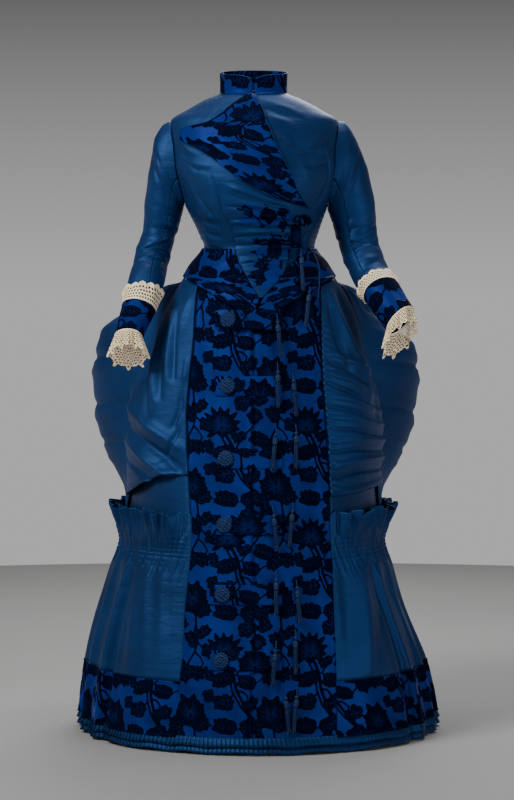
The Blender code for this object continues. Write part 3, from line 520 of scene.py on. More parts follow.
def silk_satin(tree, satin):
    """Silk satin, woven with long floats: a narrow bright sheen along the folds, deep blue
    where it turns away.  Threads are about 0.1 mm and are drawn at 1.4 mm so that they show."""
    place = add(tree, "TexCoord").outputs["Object"]
    worn = add(tree, "TexNoise", None, Vector=place, Scale=7.0, Detail=5.0, Roughness=0.55)
    slub = add(tree, "Mapping", None, Vector=place, Scale=(40.0, 40.0, 900.0))
    threads = add(tree, "TexNoise", None, Vector=slub.outputs["Vector"], Scale=1.0, Detail=2.0)
    mixed = add(tree, "Math", {"operation": "MULTIPLY_ADD"}, i0=threads.outputs["Fac"], i1=0.30,
                i2=worn.outputs["Fac"])
    colour = shaded(tree, satin, 0.50, 1.30, mixed.outputs["Value"], 0.40, 0.95)
    rough = add(tree, "MapRange", None, Value=worn.outputs["Fac"], i3=0.43, i4=0.58)
    wide = add(tree, "Mapping", None, Vector=place, Scale=(13.0, 13.0, 42.0))
    rumple = add(tree, "TexNoise", None, Vector=wide.outputs["Vector"], Scale=1.0, Detail=4.0,
                 Roughness=0.58)
    soft = add(tree, "Bump", None, Height=rumple.outputs["Fac"], Strength=0.6, Distance=0.0036,
               Normal=weave_bump(tree, place, 1.4, 0.05))
    return cloth(tree, soft, Base_Color=colour, Roughness=rough.outputs["Result"], IOR=1.54,
                 Specular_IOR_Level=0.62, Specular_Tint=linear("#5E98F2"), Sheen_Weight=0.04,
                 Sheen_Roughness=0.3, Sheen_Tint=linear("#6F9CE8"))


def cut_velvet(tree, ground, pile):
    """Silk velvet with a voided pattern: bright satin between motifs of near black pile,
    which is deep and dull and swallows the light."""
    place = add(tree, "TexCoord").outputs["Object"]
    depth = add(tree, "Attribute", {"attribute_name": "pile"})
    vein = add(tree, "Attribute", {"attribute_name": "vein"})
    ragged = add(tree, "TexNoise", None, Vector=place, Scale=260.0, Detail=2.0)
    torn = add(tree, "Math", {"operation": "MULTIPLY_ADD"}, i0=ragged.outputs["Fac"], i1=1.1,
               i2=depth.outputs["Fac"])
    cover = add(tree, "MapRange", {"interpolation_type": "SMOOTHSTEP"}, Value=torn.outputs["Value"],
                i1=0.25, i2=0.95)
    line = add(tree, "MapRange", {"interpolation_type": "SMOOTHSTEP"}, Value=vein.outputs["Fac"],
               i1=-0.8, i2=0.5, i3=0.0, i4=0.35)
    kept = add(tree, "Math", {"operation": "SUBTRACT"}, i0=1.0, i1=line.outputs["Result"])
    share = add(tree, "Math", {"operation": "MULTIPLY"}, i0=cover.outputs["Result"],
                i1=kept.outputs["Value"]).outputs["Value"]
    worn = add(tree, "TexNoise", None, Vector=place, Scale=16.0, Detail=4.0)
    satin = shaded(tree, ground, 0.65, 1.35, worn.outputs["Fac"], 0.3, 0.75)
    colour = add(tree, "Mix", {"data_type": "RGBA"}, Factor=share, i6=satin, i7=pile)
    rough = add(tree, "MapRange", None, Value=share, i3=0.38, i4=0.95)
    heights = add(tree, "Math", {"operation": "MULTIPLY_ADD"}, i0=ragged.outputs["Fac"], i1=0.25,
                  i2=share)
    bump = add(tree, "Bump", None, Height=heights.outputs["Value"], Strength=0.5, Distance=0.0006,
               Normal=weave_bump(tree, place, 1.4, 0.04))
    return cloth(tree, bump, Base_Color=colour.outputs[2], Roughness=rough.outputs["Result"], IOR=1.45,
                 Specular_IOR_Level=0.22, Specular_Tint=linear("#5C84F0"))


def satin_and_velvet(tree, satin, ground, pile):
    """Silk satin with velvet let in between the gathers, for the drape at the waist."""
    where = add(tree, "Attribute", {"attribute_name": "velvet"})
    share = add(tree, "MapRange", None, Value=where.outputs["Fac"], i1=-0.4, i2=0.6)
    both = add(tree, "MixShader", None, i0=share.outputs["Result"], i1=silk_satin(tree, satin),
               i2=cut_velvet(tree, ground, pile))
    return both.outputs["Shader"]


def cotton_lace(tree, colour):
    """Cotton bobbin lace, aged cream: matt, with knotted threads that stand up a little and painted shade in
    the hollows between them.
    """
    place = add(tree, "TexCoord").outputs["Object"]
    knots = add(tree, "TexVoronoi", {"feature": "F1"}, Vector=place, Scale=420.0)
    # Painted shade: a little darker away from the knots, in the hollows that the bump makes
    tone = shaded(tree, colour, 1.0, 0.92, knots.outputs["Distance"], 0.10, 0.75)
    bump = add(tree, "Bump", {"invert": True}, Height=knots.outputs["Distance"], Strength=0.6,
               Distance=0.0008)
    return cloth(tree, bump, Base_Color=tone, Roughness=0.9, IOR=1.5)


def twisted_cord(tree, colour, turn_mm):
    """Silk cord and gimp, twisted: fine slanting ridges with a dull shine, with a painted highlight on their
    crests and painted shade in the grooves.
    """
    place = add(tree, "TexCoord").outputs["Object"]
    twist = add(tree, "TexWave", {"wave_type": "BANDS", "bands_direction": "DIAGONAL"},
                Vector=place, Scale=1000 / turn_mm / (2 * math.pi), Distortion=1.5, Detail=2.0)
    # Painted light and shade: the colour follows the bump, lighter on the crests of the ridges and darker in
    # the grooves between them
    tone = shaded(tree, colour, 0.45, 1.30, twist.outputs["Fac"], 0.2, 0.8)
    bump = add(tree, "Bump", None, Height=twist.outputs["Fac"], Strength=0.5, Distance=0.0004)
    return cloth(tree, bump, Base_Color=tone, Roughness=0.5, IOR=1.54, Specular_IOR_Level=0.4,
                 Specular_Tint=linear("#9CB4E8"))


def paper(tree, colour):
    """Matt painted floor, faintly clouded."""
    place = add(tree, "TexCoord").outputs["Object"]
    cloud = add(tree, "TexNoise", None, Vector=place, Scale=0.8, Detail=3.0)
    tone = shaded(tree, colour, 0.95, 1.03, cloud.outputs["Fac"], 0.3, 0.7)
    return add(tree, "BsdfPrincipled", None, Base_Color=tone, Roughness=0.9, Metallic=0.0,
               IOR=1.5).outputs["BSDF"]


FINISHES = {}


def mesh_object(name, verts, faces, finish):
    """Smooth mesh object of points and faces, with its finish."""
    mesh = bpy.data.meshes.new(name)
    mesh.from_pydata(np.asarray(verts).tolist(), [], faces)
    mesh.shade_smooth()
    mesh.materials.append(FINISHES[finish])
    made = bpy.data.objects.new(name, mesh)
    bpy.context.scene.collection.objects.link(made)
    return made


def grid_mesh(name, points, finish, closed=False, wall=0.0, values=None, fold=0.0, keep=None):
    """Cloth over a grid of points [row][column], rows from the top down.

    closed joins the last column to the first; wall gives the cloth a back at that depth;
    fold turns the open edges back by that depth; keep[row][column] leaves faces out.
    """
    rows, cols = points.shape[:2]
    if closed:
        points = points[:, :-1]
        values = {key: value[:, :-1] for key, value in (values or {}).items()}
        cols -= 1
    index = np.arange(rows * cols).reshape(rows, cols)
    right = np.roll(index, -1, axis=1)
    faces = np.stack((index[:-1], index[1:], right[1:], right[:-1]), axis=-1)
    if not closed:
        faces = faces[:, :-1]
    if keep is not None:
        faces = faces[keep[:faces.shape[0], :faces.shape[1]]]
    faces = faces.reshape(-1, 4)
    verts = points.reshape(-1, 3)
    table = {key: value.reshape(-1) for key, value in (values or {}).items()}
    if fold:
        normal = grid_normals(points, closed)
        edges = [index[0, ::-1], index[-1]]
        if not closed:
            edges = [np.concatenate((index[0, ::-1], index[1:, 0], index[-1, 1:], index[-2:0:-1, -1]))]
        for edge in edges:
            start = len(verts)
            verts = np.vstack((verts, verts[edge] - normal.reshape(-1, 3)[edge] * fold))
            table = {key: np.concatenate((value, value[edge])) for key, value in table.items()}
            inner = start + np.arange(len(edge))
            quads = np.stack((edge, np.roll(edge, -1), np.roll(inner, -1), inner), axis=-1)
            faces = np.vstack((faces, quads[:, ::-1]))
    made = mesh_object(name, verts, faces.tolist(), finish)
    for key, value in table.items():
        layer = made.data.attributes.new(key, "FLOAT", "POINT")
        layer.data.foreach_set("value", value.astype(np.float32))
    if wall:
        thick = made.modifiers.new("cloth_back", "SOLIDIFY")
        thick.thickness = wall
        thick.offset = -1.0
    return made


def grid_normals(points, closed=False):
    """Outward direction at each point of a grid."""
    if closed:
        wide = np.roll(points, -1, axis=1) - np.roll(points, 1, axis=1)
    else:
        wide = np.gradient(points, axis=1)
    tall = np.gradient(points, axis=0)
    normal = np.cross(tall, wide)
    return normal / np.maximum(np.linalg.norm(normal, axis=-1, keepdims=True), 1e-9)


def crease_lift(creases, x, z):
    """Sum of soft ridges and troughs, metres.

    Each crease is (width, depth, first place, next place, ...), mm; a depth below zero is
    a trough.  Places are (front x, height).
    """
    x, z = x / MM, z / MM
    total = np.zeros(np.broadcast(x, z).shape)
    for width, depth, *places in creases:
        lengths = [math.dist(a, b) for a, b in zip(places, places[1:])]
        whole = sum(lengths)
        best = np.full(total.shape, 1e9)
        share = np.zeros(total.shape)
        run = 0.0
        for (x0, z0), (x1, z1), length in zip(places, places[1:], lengths):
            along = np.clip(((x - x0) * (x1 - x0) + (z - z0) * (z1 - z0)) / length ** 2, 0, 1)
            far = np.hypot(x - x0 - along * (x1 - x0), z - z0 - along * (z1 - z0))
            nearer = far < best
            best = np.where(nearer, far, best)
            share = np.where(nearer, (run + along * length) / whole, share)
            run += length
        fade = 0.25 + 0.75 * np.sin(math.pi * np.clip(share, 0, 1)) ** 0.7
        total += depth * MM * bell(best, width) * fade
    return total


def panel_grid(heights, edges, count, lift, top=None, bottom=None, rows=60):
    """Fine grid over a patch of the body between two edges and two heights.

    Its top and bottom edge may follow a curve of the angle.  Gives points, angles, heights.
    """
    heights = np.linspace(heights[0], heights[1], rows + 1)
    across = np.linspace(0.0, 1.0, count + 1)[None, :]
    level = np.repeat(heights[:, None], count + 1, axis=1)
    left, right = edges(level)
    angle = left + (right - left) * across
    row = np.linspace(0.0, 1.0, len(heights))[:, None]
    if top is not None:
        level = level + (top(angle) - heights[0]) * (1 - row) ** 2
    if bottom is not None:
        level = level + (bottom(angle) - heights[-1]) * row ** 2
    left, right = edges(level)
    radius = np.maximum(BODY_HALF(level), 0.02)
    inset = np.degrees(SEAM_HALF / radius) * np.sign(right - left)
    angle = left + inset + (right - left - 2 * inset) * across
    return laid(angle, level, lift(angle, level)), angle, level


def size(name):
    """One of the sizes that the Panel sets."""
    return getattr(bpy.context.scene.dress_sizes, name)


def declare(piece, node):
    """The piece stands for its solid and rides with the dress."""
    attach(piece, "root")
    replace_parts(piece, node)


SEAM_HALF = 0.0002
# Creases of the bodice fronts and back, mm: width, depth, places (front x, height)
DARTS = (
    (2.2, -1.3, (-87, -180), (-64, -242), (-39, -283), (-35, -327)),
    (2.2, -1.3, (-130, -176), (-111, -222), (-74, -275), (-60, -304)),
    (5.0, 0.7, (-94, -182), (-72, -242), (-47, -283)),
    (5.0, 0.7, (-137, -180), (-118, -226), (-82, -279)),
)
SIDE_FRONT_SEAM = (
    (2.2, -1.4, (140, -118), (152, -150), (153, -180), (142, -210), (128, -232), (110, -250)),
    (6.0, 1.0, (150, -125), (162, -160), (162, -190), (150, -216), (132, -240)),
)
BODICE_CREASES = (
    (9, 1.6, (-36, -34), (-78, -52), (-118, -92)),
    (7, -1.2, (-40, -46), (-74, -62)),
    (8, 1.5, (20, -26), (62, -40), (96, -52)),
    (6, -1.3, (22, -38), (58, -54), (88, -62)),
    (7, 1.2, (26, -58), (60, -66), (92, -88)),
    (8, -1.1, (34, -78), (70, -96), (100, -128)),
    (10, 1.3, (60, -110), (94, -140), (110, -176)),
    (6, 0.9, (146, -86), (128, -104), (110, -112)),
    (5, -1.0, (152, -100), (136, -116), (122, -122)),
    (6, 0.9, (150, -122), (134, -132)),
    (6, 1.0, (-150, -112), (-132, -128), (-118, -132)),
    (5, -1.0, (-152, -126), (-136, -142), (-124, -148)),
    (9, -1.6, (-152, -170), (-136, -214), (-112, -266), (-98, -302)),
    (8, 1.1, (-120, -240), (-98, -290), (-92, -330)),
    (7, 1.2, (-112, -300), (-84, -318), (-62, -322)),
    (5, -1.3, (-116, -314), (-88, -328), (-64, -330)),
    (6, 1.1, (-110, -330), (-80, -340)),
    (7, 1.0, (126, -262), (112, -292), (106, -330)),
    (5, -1.2, (118, -268), (104, -300), (100, -330)),
    (6, 0.9, (108, -306), (86, -322), (78, -340)),
    (4, -1.2, (-108, -286), (-86, -300), (-66, -304)),
    (4, 1.0, (-104, -292), (-84, -308), (-64, -312)),
    (4, -1.1, (-112, -262), (-96, -274), (-70, -280)),
    (5, 1.0, (-116, -248), (-92, -262), (-68, -266)),
    (4, -1.0, (-140, -150), (-118, -166), (-92, -168)),
    (5, 0.9, (-146, -138), (-120, -154), (-90, -158)),
    (4, -1.0, (148, -150), (126, -160), (100, -158)),
    (5, 0.9, (152, -140), (128, -148), (104, -146)),
    (4, -1.1, (116, -276), (96, -284), (80, -282)),
    (4, 1.0, (118, -284), (98, -294), (82, -292)),
    (4, -1.0, (-44, -30), (-70, -40), (-104, -76)),
    (4, -0.9, (30, -32), (66, -46), (104, -64)),
)
BACK_CREASES = (
    (3, -1.2, (-62, -130), (-46, -220), (-30, -330), (-34, -400)),
    (3, -1.2, (62, -130), (50, -220), (38, -330), (40, -400)),
    (2, -1.0, (1, -14), (4, -200), (10, -330), (11, -410)),
    (8, 1.4, (-118, -70), (-92, -120), (-88, -180)),
    (8, 1.4, (120, -74), (96, -126), (90, -184)),
    (7, 1.2, (-70, -300), (-30, -318), (30, -320), (80, -304)),
    (6, -1.3, (-64, -314), (-20, -330), (36, -332), (74, -318)),
    (7, 1.1, (-90, -268), (-50, -288), (-14, -292)),
    (7, 1.0, (96, -272), (58, -294), (30, -296)),
)
# Gathers round the waist drape: height at its left, height at its right, width, depth, mm
DRAPE_GATHERS = (
    (-198, -236, 6.5, 3.0), (-214, -247, 3.5, -2.4), (-226, -252, 4.0, 1.8), (-239, -257, 3.0, -2.0),
    (-250, -263, 4.5, 2.0), (-262, -270, 2.8, -2.0), (-271, -277, 4.0, 1.8), (-282, -284, 2.6, -1.9),
    (-291, -291, 4.4, 1.9), (-303, -300, 2.6, -1.9), (-312, -307, 4.0, 1.7), (-322, -315, 2.6, -1.9),
    (-331, -324, 4.4, 1.8), (-342, -334, 2.6, -1.8), (-350, -342, 3.8, 1.6), (-360, -352, 2.6, -1.7),
    (-368, -361, 4.2, 1.6), (-378, -371, 2.6, -1.5), (-388, -380, 3.8, 1.4), (-398, -392, 2.8, -1.3),
)
# Where velvet shows between the gathers, mm: left, right, top, bottom, slant
DRAPE_VELVET = ((-24, 90, -236, -274, -0.12), (4, 90, -300, -350, 0.06), (-4, 58, -354, -412, 0.10))


# Lowest point of the fronts, and the height from which they narrow towards it
FRONT_TIP = -0.430
FRONT_HIP = -0.352
# Depth of the small puckers at the side seams, and how far the creases may go in and out
PUCKER = 0.0006
CREASE_RANGE = (-0.0022, 0.0036)


def make_satin_fronts():
    """Two satin fronts that run down to a point under the drape, and the back."""
    def front_edges(side):
        def edges(height):
            narrow = ease((height - FRONT_TIP) / 0.078)
            middle = angle_at(0.008 * (1 - narrow), height)
            seam = armhole_angle(height, False) * side
            tip = angle_at(0.150 * narrow * side + (0.016 if side > 0 else 0.0), height)
            nearer = np.minimum(seam * side, tip * side) * side
            outer = np.where(height < FRONT_HIP, nearer, seam)
            return (middle, outer) if side > 0 else (outer, middle)

        return edges

    def lift(angle, height):
        x = body_point(angle, height)[..., 0]
        creases = crease_lift(DARTS + SIDE_FRONT_SEAM + BODICE_CREASES, x, height)
        puckers = PUCKER * np.sin(height / MM * 2 * math.pi / 11) * ease((np.abs(angle) - 60) / 14)
        total = 2.1 * creases + puckers * ease((-0.07 - height) / 0.03)
        return LIFT_BODICE + np.clip(total, *CREASE_RANGE)

    for word, side in (("right", -1), ("left", 1)):
        grid = panel_grid((NECK, FRONT_TIP), front_edges(side), 92, lift, top=neckline, rows=156)[0]
        piece = grid_mesh(f"bodice_front_{word}_satin", grid, "satin", fold=size("turned"))
        declare(piece, f"bodice_front_{word}")

    def back_edges(height):
        edge = armhole_angle(height, True)
        return edge, 360 - edge

    def basque(angle):
        return BASQUE_SIDE - 0.030 * ease(1 - np.abs(angle - 180) / 90)

    def back_lift(angle, height):
        x = body_point(angle, height)[..., 0]
        return LIFT_BODICE + crease_lift(BACK_CREASES, x, height)

    grid = panel_grid((NECK, BASQUE_SIDE), back_edges, 116, back_lift, neckline, basque, 108)[0]
    piece = grid_mesh("bodice_back_satin", grid, "satin", fold=size("turned"))
    declare(piece, "bodice_back")


def make_velvet_collar():
    """Stand collar with a piped edge, open at the centre front."""
    angle = np.linspace(2.4, 357.6, 190)[None, :]
    drop = np.linspace(0, 1, 22)[:, None]
    notch = 0.007 * bell(np.minimum(angle, 360 - angle), 14)
    top = neckline(angle) + 0.042 - notch
    level = top + (neckline(angle) + 0.0006 - top) * drop
    angle = np.repeat(angle, 22, axis=0)
    grid = laid(angle, level, 0.003 + 0.0012 * (1 - drop) ** 2 + 0.0008 * bell(drop, 0.05))
    values = velvet_values(grid, (40, 150))
    grid = laid(angle, level, 0.003 + 0.0012 * (1 - drop) ** 2 + pile_rise(values))
    piece = grid_mesh("collar_velvet", grid, "velvet", values=values, wall=0.0013)
    declare(piece, "collar")
    tube("collar_piping", grid[0] + grid_normals(grid)[0] * -0.0004, 0.0009, "satin")


def pile_rise(values):
    """Height of the pile above the velvet's ground."""
    return size("pile") * ease((values["pile"] + 0.4) / 1.4)


def velvet_cloth(name, base, angle, level, lift, origin, turn=0.0, **form):
    """Velvet laid over the body, with its pattern as it lies on the base grid and raised pile."""
    values = velvet_values(base, origin, turn)
    return grid_mesh(name, laid(angle, level, lift + pile_rise(values)), "velvet", values=values, **form)


def tube(name, line, radius, finish, sides=6):
    """Round piping or cord along a line of points."""
    line = np.asarray(line, float)
    ahead = np.gradient(line, axis=0)
    ahead /= np.maximum(np.linalg.norm(ahead, axis=1, keepdims=True), 1e-9)
    helper = np.where(np.abs(ahead[:, 2:3]) > 0.9, np.array([[0.0, 1.0, 0.0]]), UP[None, :])
    one = np.cross(ahead, helper)
    one /= np.linalg.norm(one, axis=1, keepdims=True)
    two = np.cross(ahead, one)
    turn = np.linspace(0, 2 * math.pi, sides, endpoint=False)
    ring = one[:, None] * np.cos(turn)[None, :, None] + two[:, None] * np.sin(turn)[None, :, None]
    verts = (line[:, None] + ring * radius).reshape(-1, 3)
    index = np.arange(len(line) * sides).reshape(len(line), sides)
    right = np.roll(index, -1, axis=1)
    faces = np.stack((index[:-1], right[:-1], right[1:], index[1:]), axis=-1).reshape(-1, 4).tolist()
    faces += [index[0, ::-1].tolist(), index[-1].tolist()]
    plain_mesh(name, verts, faces, finish)


def plain_mesh(name, verts, faces, finish):
    """Mesh piece that rides with the dress."""
    made = mesh_object(name, verts, faces, finish)
    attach(made, "root")
    return made


# How far the gathers of the drape may go in and out
GATHER_RANGE = (-0.0026, 0.0058)
PLASTRON_CREASES = ((9, -1.0, (-100, -96), (-40, -130), (40, -190)), (7, 0.8, (-60, -70), (0, -120)))


def drape_lift(angle, height):
    """Gathers of the waist drape, deeper towards the knot at the wearer's left."""
    share = np.clip((body_point(angle, height)[..., 0] / MM + 66) / 138, 0, 1)
    z = height / MM
    total = np.zeros(z.shape)
    for k, (left, right, width, depth) in enumerate(DRAPE_GATHERS):
        line = left + (right - left) * share + 1.6 * np.sin(share * 7 + k * 1.9)
        fade = ((0.55 + 0.45 * np.sin(share * 5.2 + k * 2.3))
                * (0.06 + 0.94 * ease(share / (0.28 + 0.16 * (k % 3)))))
        total += depth * MM * bell(z - line, width) * fade * (0.85 + 0.5 * share)
    return LIFT_TRIM + 0.0006 + np.clip(1.7 * total, *GATHER_RANGE)


def make_velvet_trims():
    """Plastron, hip panels, the gathered waist drape, the knot and its strap."""
    grid, angle, level = panel_grid((-0.014, -0.243), table_edges(PLASTRON), 96, lambda a, h: LIFT_PLASTRON,
                                    rows=120)
    roll = 0.0012 * np.sin(np.linspace(0, math.pi, 97))[None, :]
    soft = crease_lift(PLASTRON_CREASES, grid[..., 0], level)
    values = velvet_values(grid, (0, 0), -12)
    grid = laid(angle, level, LIFT_PLASTRON + roll + soft + pile_rise(values))
    piece = grid_mesh("plastron_velvet", grid, "velvet", values=values, fold=0.0012)
    declare(piece, "plastron")
    tube("plastron_piping", grid[:, -1] + np.array([0.0006, 0, 0]), size("piping"), "satin")
    tube("plastron_left_piping", grid[30:, 0] + np.array([-0.0003, 0, 0]), 0.0007, "satin")

    grid, angle, level = panel_grid((-0.192, -0.430), table_edges(WAIST_DRAPE), 70, drape_lift, rows=190)
    values = velvet_values(grid, (20, 30), 70)
    x, z = grid[..., 0] / MM, level / MM
    wander = 5 * np.sin(x * 0.17 + z * 0.05) + 3 * np.sin(x * 0.43 + 1) + 2 * np.sin(z * 0.9 + x * 0.2)
    shown = np.full(x.shape, -9.0)
    for left, right, top, low, slant in DRAPE_VELVET:
        line = z - slant * (x - left) + wander
        start = x - left + 9 * np.sin(z * 0.23 + left) + 5 * np.sin(z * 0.61)
        shown = np.maximum(shown, np.minimum.reduce((start, right - x, top - line, line - low)))
    values["velvet"] = shown
    piece = grid_mesh("waist_drape_satin", grid, "drape", values=values, fold=0.0012)
    declare(piece, "waist_drape")

    for word, table, origin in (("right", HIP_PANEL_RIGHT, (20, 150)), ("left", HIP_PANEL_LEFT, (120, 60))):
        side = 1 if word == "left" else -1
        grid, angle, level = panel_grid((table[0][0] * MM, table[-1][0] * MM), table_edges(table), 64,
                                        lambda a, h: LIFT_TRIM, rows=72)
        across = np.linspace(0, 1, 65)[None, :]
        outer = across if side > 0 else 1 - across
        flare = 0.0035 * ease((outer - 0.55) / 0.45) * ease((-0.350 - level) / 0.03)
        wave = 0.0010 * np.sin(outer * 9 + level / MM * 0.11) * ease((-0.345 - level) / 0.03)
        piece = velvet_cloth(f"hip_panel_{word}_velvet", grid, angle, level, LIFT_TRIM + flare + wave, origin,
                             8 * side, fold=0.0014)
        declare(piece, f"hip_panel_{word}")

    def strap_lift(_, height):
        return LIFT_STRAP + 0.0022 * ease((-0.281 - height) / 0.006) + 0.0006 * np.sin(height / MM * 0.5)

    def strap_edges(height):
        return angle_at(0.075, height), angle_at(0.093, height)

    grid = panel_grid((-0.278, -0.328), strap_edges, 14, strap_lift, rows=32)[0]
    values = velvet_values(grid, (30, 30))
    values["pile"] = np.maximum(values["pile"], 1.6 * np.sin(grid[..., 2] / MM * 0.9) + 0.6)
    piece = grid_mesh("side_strap_velvet", grid, "velvet", values=values, wall=0.001)
    declare(piece, "side_strap")
    make_knot()


def make_knot():
    """Knot of crushed velvet: folds that run into a tight middle."""
    height = np.array(-0.2675)
    angle = angle_at(0.0966, height)
    outward = body_normal(angle, height)
    outward = np.array([outward[0], outward[1], 0.0]) / math.hypot(outward[0], outward[1])
    across = np.cross(UP, outward)
    centre = laid(angle, height, LIFT_BODICE + 0.0073)
    turns = np.linspace(0, 2 * math.pi, 65)[None, :]
    spans = np.linspace(0.02, math.pi - 0.02, 41)[:, None]
    crush = 1 + 0.10 * np.sin(turns * 7 + 3 * np.cos(spans)) + 0.07 * np.sin(spans * 9 + turns * 2)
    waist = 1 - 0.22 * bell(spans - 1.75, 0.22)
    x = 0.0215 * np.cos(spans) * np.ones_like(turns)
    z = 0.0115 * np.sin(spans) * np.cos(turns) * crush * waist
    y = 0.0062 * np.sin(spans) * np.sin(turns) * crush * waist
    grid = centre + x[..., None] * across + y[..., None] * outward + z[..., None] * UP
    values = velvet_values(grid, (10, 100))
    values["pile"] = 1.8 * np.sin(turns * 2 + spans * 4) + 1.1 * np.sin(spans * 9) + 1.4
    piece = grid_mesh("side_knot_velvet", grid, "velvet", closed=True, values=values)
    declare(piece, "side_knot")


def sleeve_line(table):
    """Smooth curves of the sleeve's ring columns against the ring's number, from 1."""
    return [smooth_curve([(k + 1, row[c] * MM) for k, row in enumerate(table)]) for c in range(6)]


def ring_at(line, number, turn, grow=0.0):
    """Points of the sleeve's ring at a (fractional) number; turn 0 is outside, 90 the front."""
    outer_x, outer_z, inner_x, inner_z, middle_y, depth = line

    def centre(at):
        return np.array([(outer_x(at) + inner_x(at)) / 2, middle_y(at), (outer_z(at) + inner_z(at)) / 2])

    along = centre(number + 0.05) - centre(number - 0.05)
    half = np.array([(outer_x(number) - inner_x(number)) / 2, 0.0, (outer_z(number) - inner_z(number)) / 2])
    width = np.linalg.norm(half)
    half = half / width
    front = np.cross(along, half)
    front = front / np.linalg.norm(front)
    if front[1] > 0:
        front = -front
    turn = np.radians(turn)[..., None]
    grow = np.broadcast_to(np.asarray(grow, float), turn.shape[:-1])[..., None]
    return (centre(number) + half * (width + grow) * np.cos(turn)
            + front * (float(depth(number)) + grow) * np.sin(turn))


def armhole_ring(turn, side):
    """Ring of the sleeve along the armhole's edge, just outside it."""
    height = ARMHOLE_MIDDLE + ARMHOLE_HALF * 0.999 * np.cos(np.radians(turn))
    front = np.sin(np.radians(turn)) > 0
    angle = np.where(front, armhole_angle(height, False), armhole_angle(height, True))
    points = laid(angle * side, height, LIFT_BODICE)
    points[..., 0] += side * 0.0012
    return points


# Sleeve creases: ring number, slant, turn at the middle, reach in degrees, width, depth mm.
# Turn 0 is outside, 90 the front and 180 inside; 270 is the back, hidden from the front.
SLEEVE_CREASES = (
    (1.5, 0.5, 60, 50, 0.16, 1.4), (1.9, 0.6, 70, 50, 0.13, -1.4), (2.6, -0.6, 110, 50, 0.18, 1.3),
    (3.2, -0.5, 130, 55, 0.16, -1.6), (3.7, 0.5, 120, 60, 0.20, 1.9), (4.15, 0.3, 140, 60, 0.13, -2.6),
    (4.5, -0.4, 130, 60, 0.18, 2.2), (4.85, -0.6, 110, 70, 0.12, -2.6), (5.2, 0.4, 140, 60, 0.16, 2.0),
    (5.55, 0.5, 130, 60, 0.12, -2.2), (5.95, -0.3, 110, 60, 0.16, 1.6), (6.4, 0.5, 80, 50, 0.14, -1.4),
    (6.9, -0.5, 100, 60, 0.18, 1.2), (4.3, 0.5, 40, 45, 0.14, -1.3), (5.0, 0.6, 30, 50, 0.18, 1.3),
    (3.4, 0.7, 20, 50, 0.20, 1.1), (2.3, -0.4, 10, 60, 0.22, 0.9), (4.0, 0.4, 300, 60, 0.16, 1.6),
    (4.6, -0.4, 290, 60, 0.14, -1.7), (5.3, 0.3, 300, 60, 0.18, 1.5), (2.6, 0.5, 280, 60, 0.24, 1.2),
    (6.2, -0.4, 300, 60, 0.2, -1.2),
)


def sleeve_crease(number, turn, shift):
    """Ridges and troughs of a sleeve at a ring."""
    total = np.zeros(np.shape(turn))
    for place, slant, middle, reach, width, depth in SLEEVE_CREASES:
        apart = (np.abs(turn) - middle + 180) % 360 - 180
        line = place + shift + slant * apart / 90
        total += 1.5 * depth * MM * bell(number - line, width) * bell(apart, reach)
    return total


def sleeve_grid(table, side, turn, rows, shift):
    """Fine grid of a sleeve piece from the armhole down to the wrist."""
    line = sleeve_line(table)
    seam = armhole_ring(turn, side)
    turns = np.mod(np.abs(turn), 360)
    out = []
    for stop in np.linspace(0.0, len(table), rows):
        crease = sleeve_crease(stop, turns, shift) * ease(stop / 1.2) * ease((len(table) - stop) / 0.5)
        if stop >= 1:
            out.append(ring_at(line, stop, turn, crease))
        else:
            puff = 0.0018 * np.sin(np.radians(turns * 9)) * math.sin(math.pi * min(stop * 1.6, 1.0)) ** 2
            swell = np.zeros_like(seam)
            swell[..., 2] = 0.006 * math.sin(math.pi * stop) * np.maximum(np.cos(np.radians(turn)), 0)
            outside = np.maximum(np.cos(np.radians(turns)), 0)
            swell[..., 0] = side * (0.0015 * math.sin(math.pi * stop) + puff * outside)
            out.append(seam + (ring_at(line, 1.0, turn, crease) - seam) * stop + swell)
    return np.array(out)


# The net of the lace, in faces: how far its holes repeat down and across, their bars, its rim
LACE_DOWN = 4
LACE_ACROSS = 5
LACE_BAR = 2
LACE_RIM = 3


def lace_keep(rows, cols):
    """Where lace has cloth: an even net of holes with a plain rim."""
    row, col = np.mgrid[0:rows, 0:cols]
    shifted = col + (row // LACE_DOWN % 2) * LACE_ACROSS // 2
    hole = (row % LACE_DOWN < LACE_DOWN - LACE_BAR) & (shifted % LACE_ACROSS < LACE_ACROSS - LACE_BAR)
    hole &= (row >= LACE_RIM) & (row < rows - LACE_RIM)
    return ~hole


def make_sleeves():
    """Two-piece sleeves, velvet cuffs, and lace over and under each cuff."""
    for word, table, cuff, side, shift in (("right", SLEEVE_RIGHT, CUFF_RIGHT, -1, 0.0),
                                           ("left", SLEEVE_LEFT, CUFF_LEFT, 1, 0.22)):
        handed = -side
        seam = SLEEVE_SEAM_ANGLE
        for part, start, stop, cols, flat in (("upper", -seam + 0.4, seam - 0.4, 84, (0.17, 0.42)),
                                              ("under", seam + 0.4, 360 - seam - 0.4, 52, (0.095, 0.33))):
            turn = np.linspace(start, stop, cols) * handed
            grid = sleeve_grid(table, side, turn, 120, shift)
            piece = grid_mesh(f"sleeve_{word}_{part}_satin", grid, "satin", fold=0.0012)
            declare(piece, f"sleeve_{word}_{part}")
        make_cuff(word, table, cuff, handed)


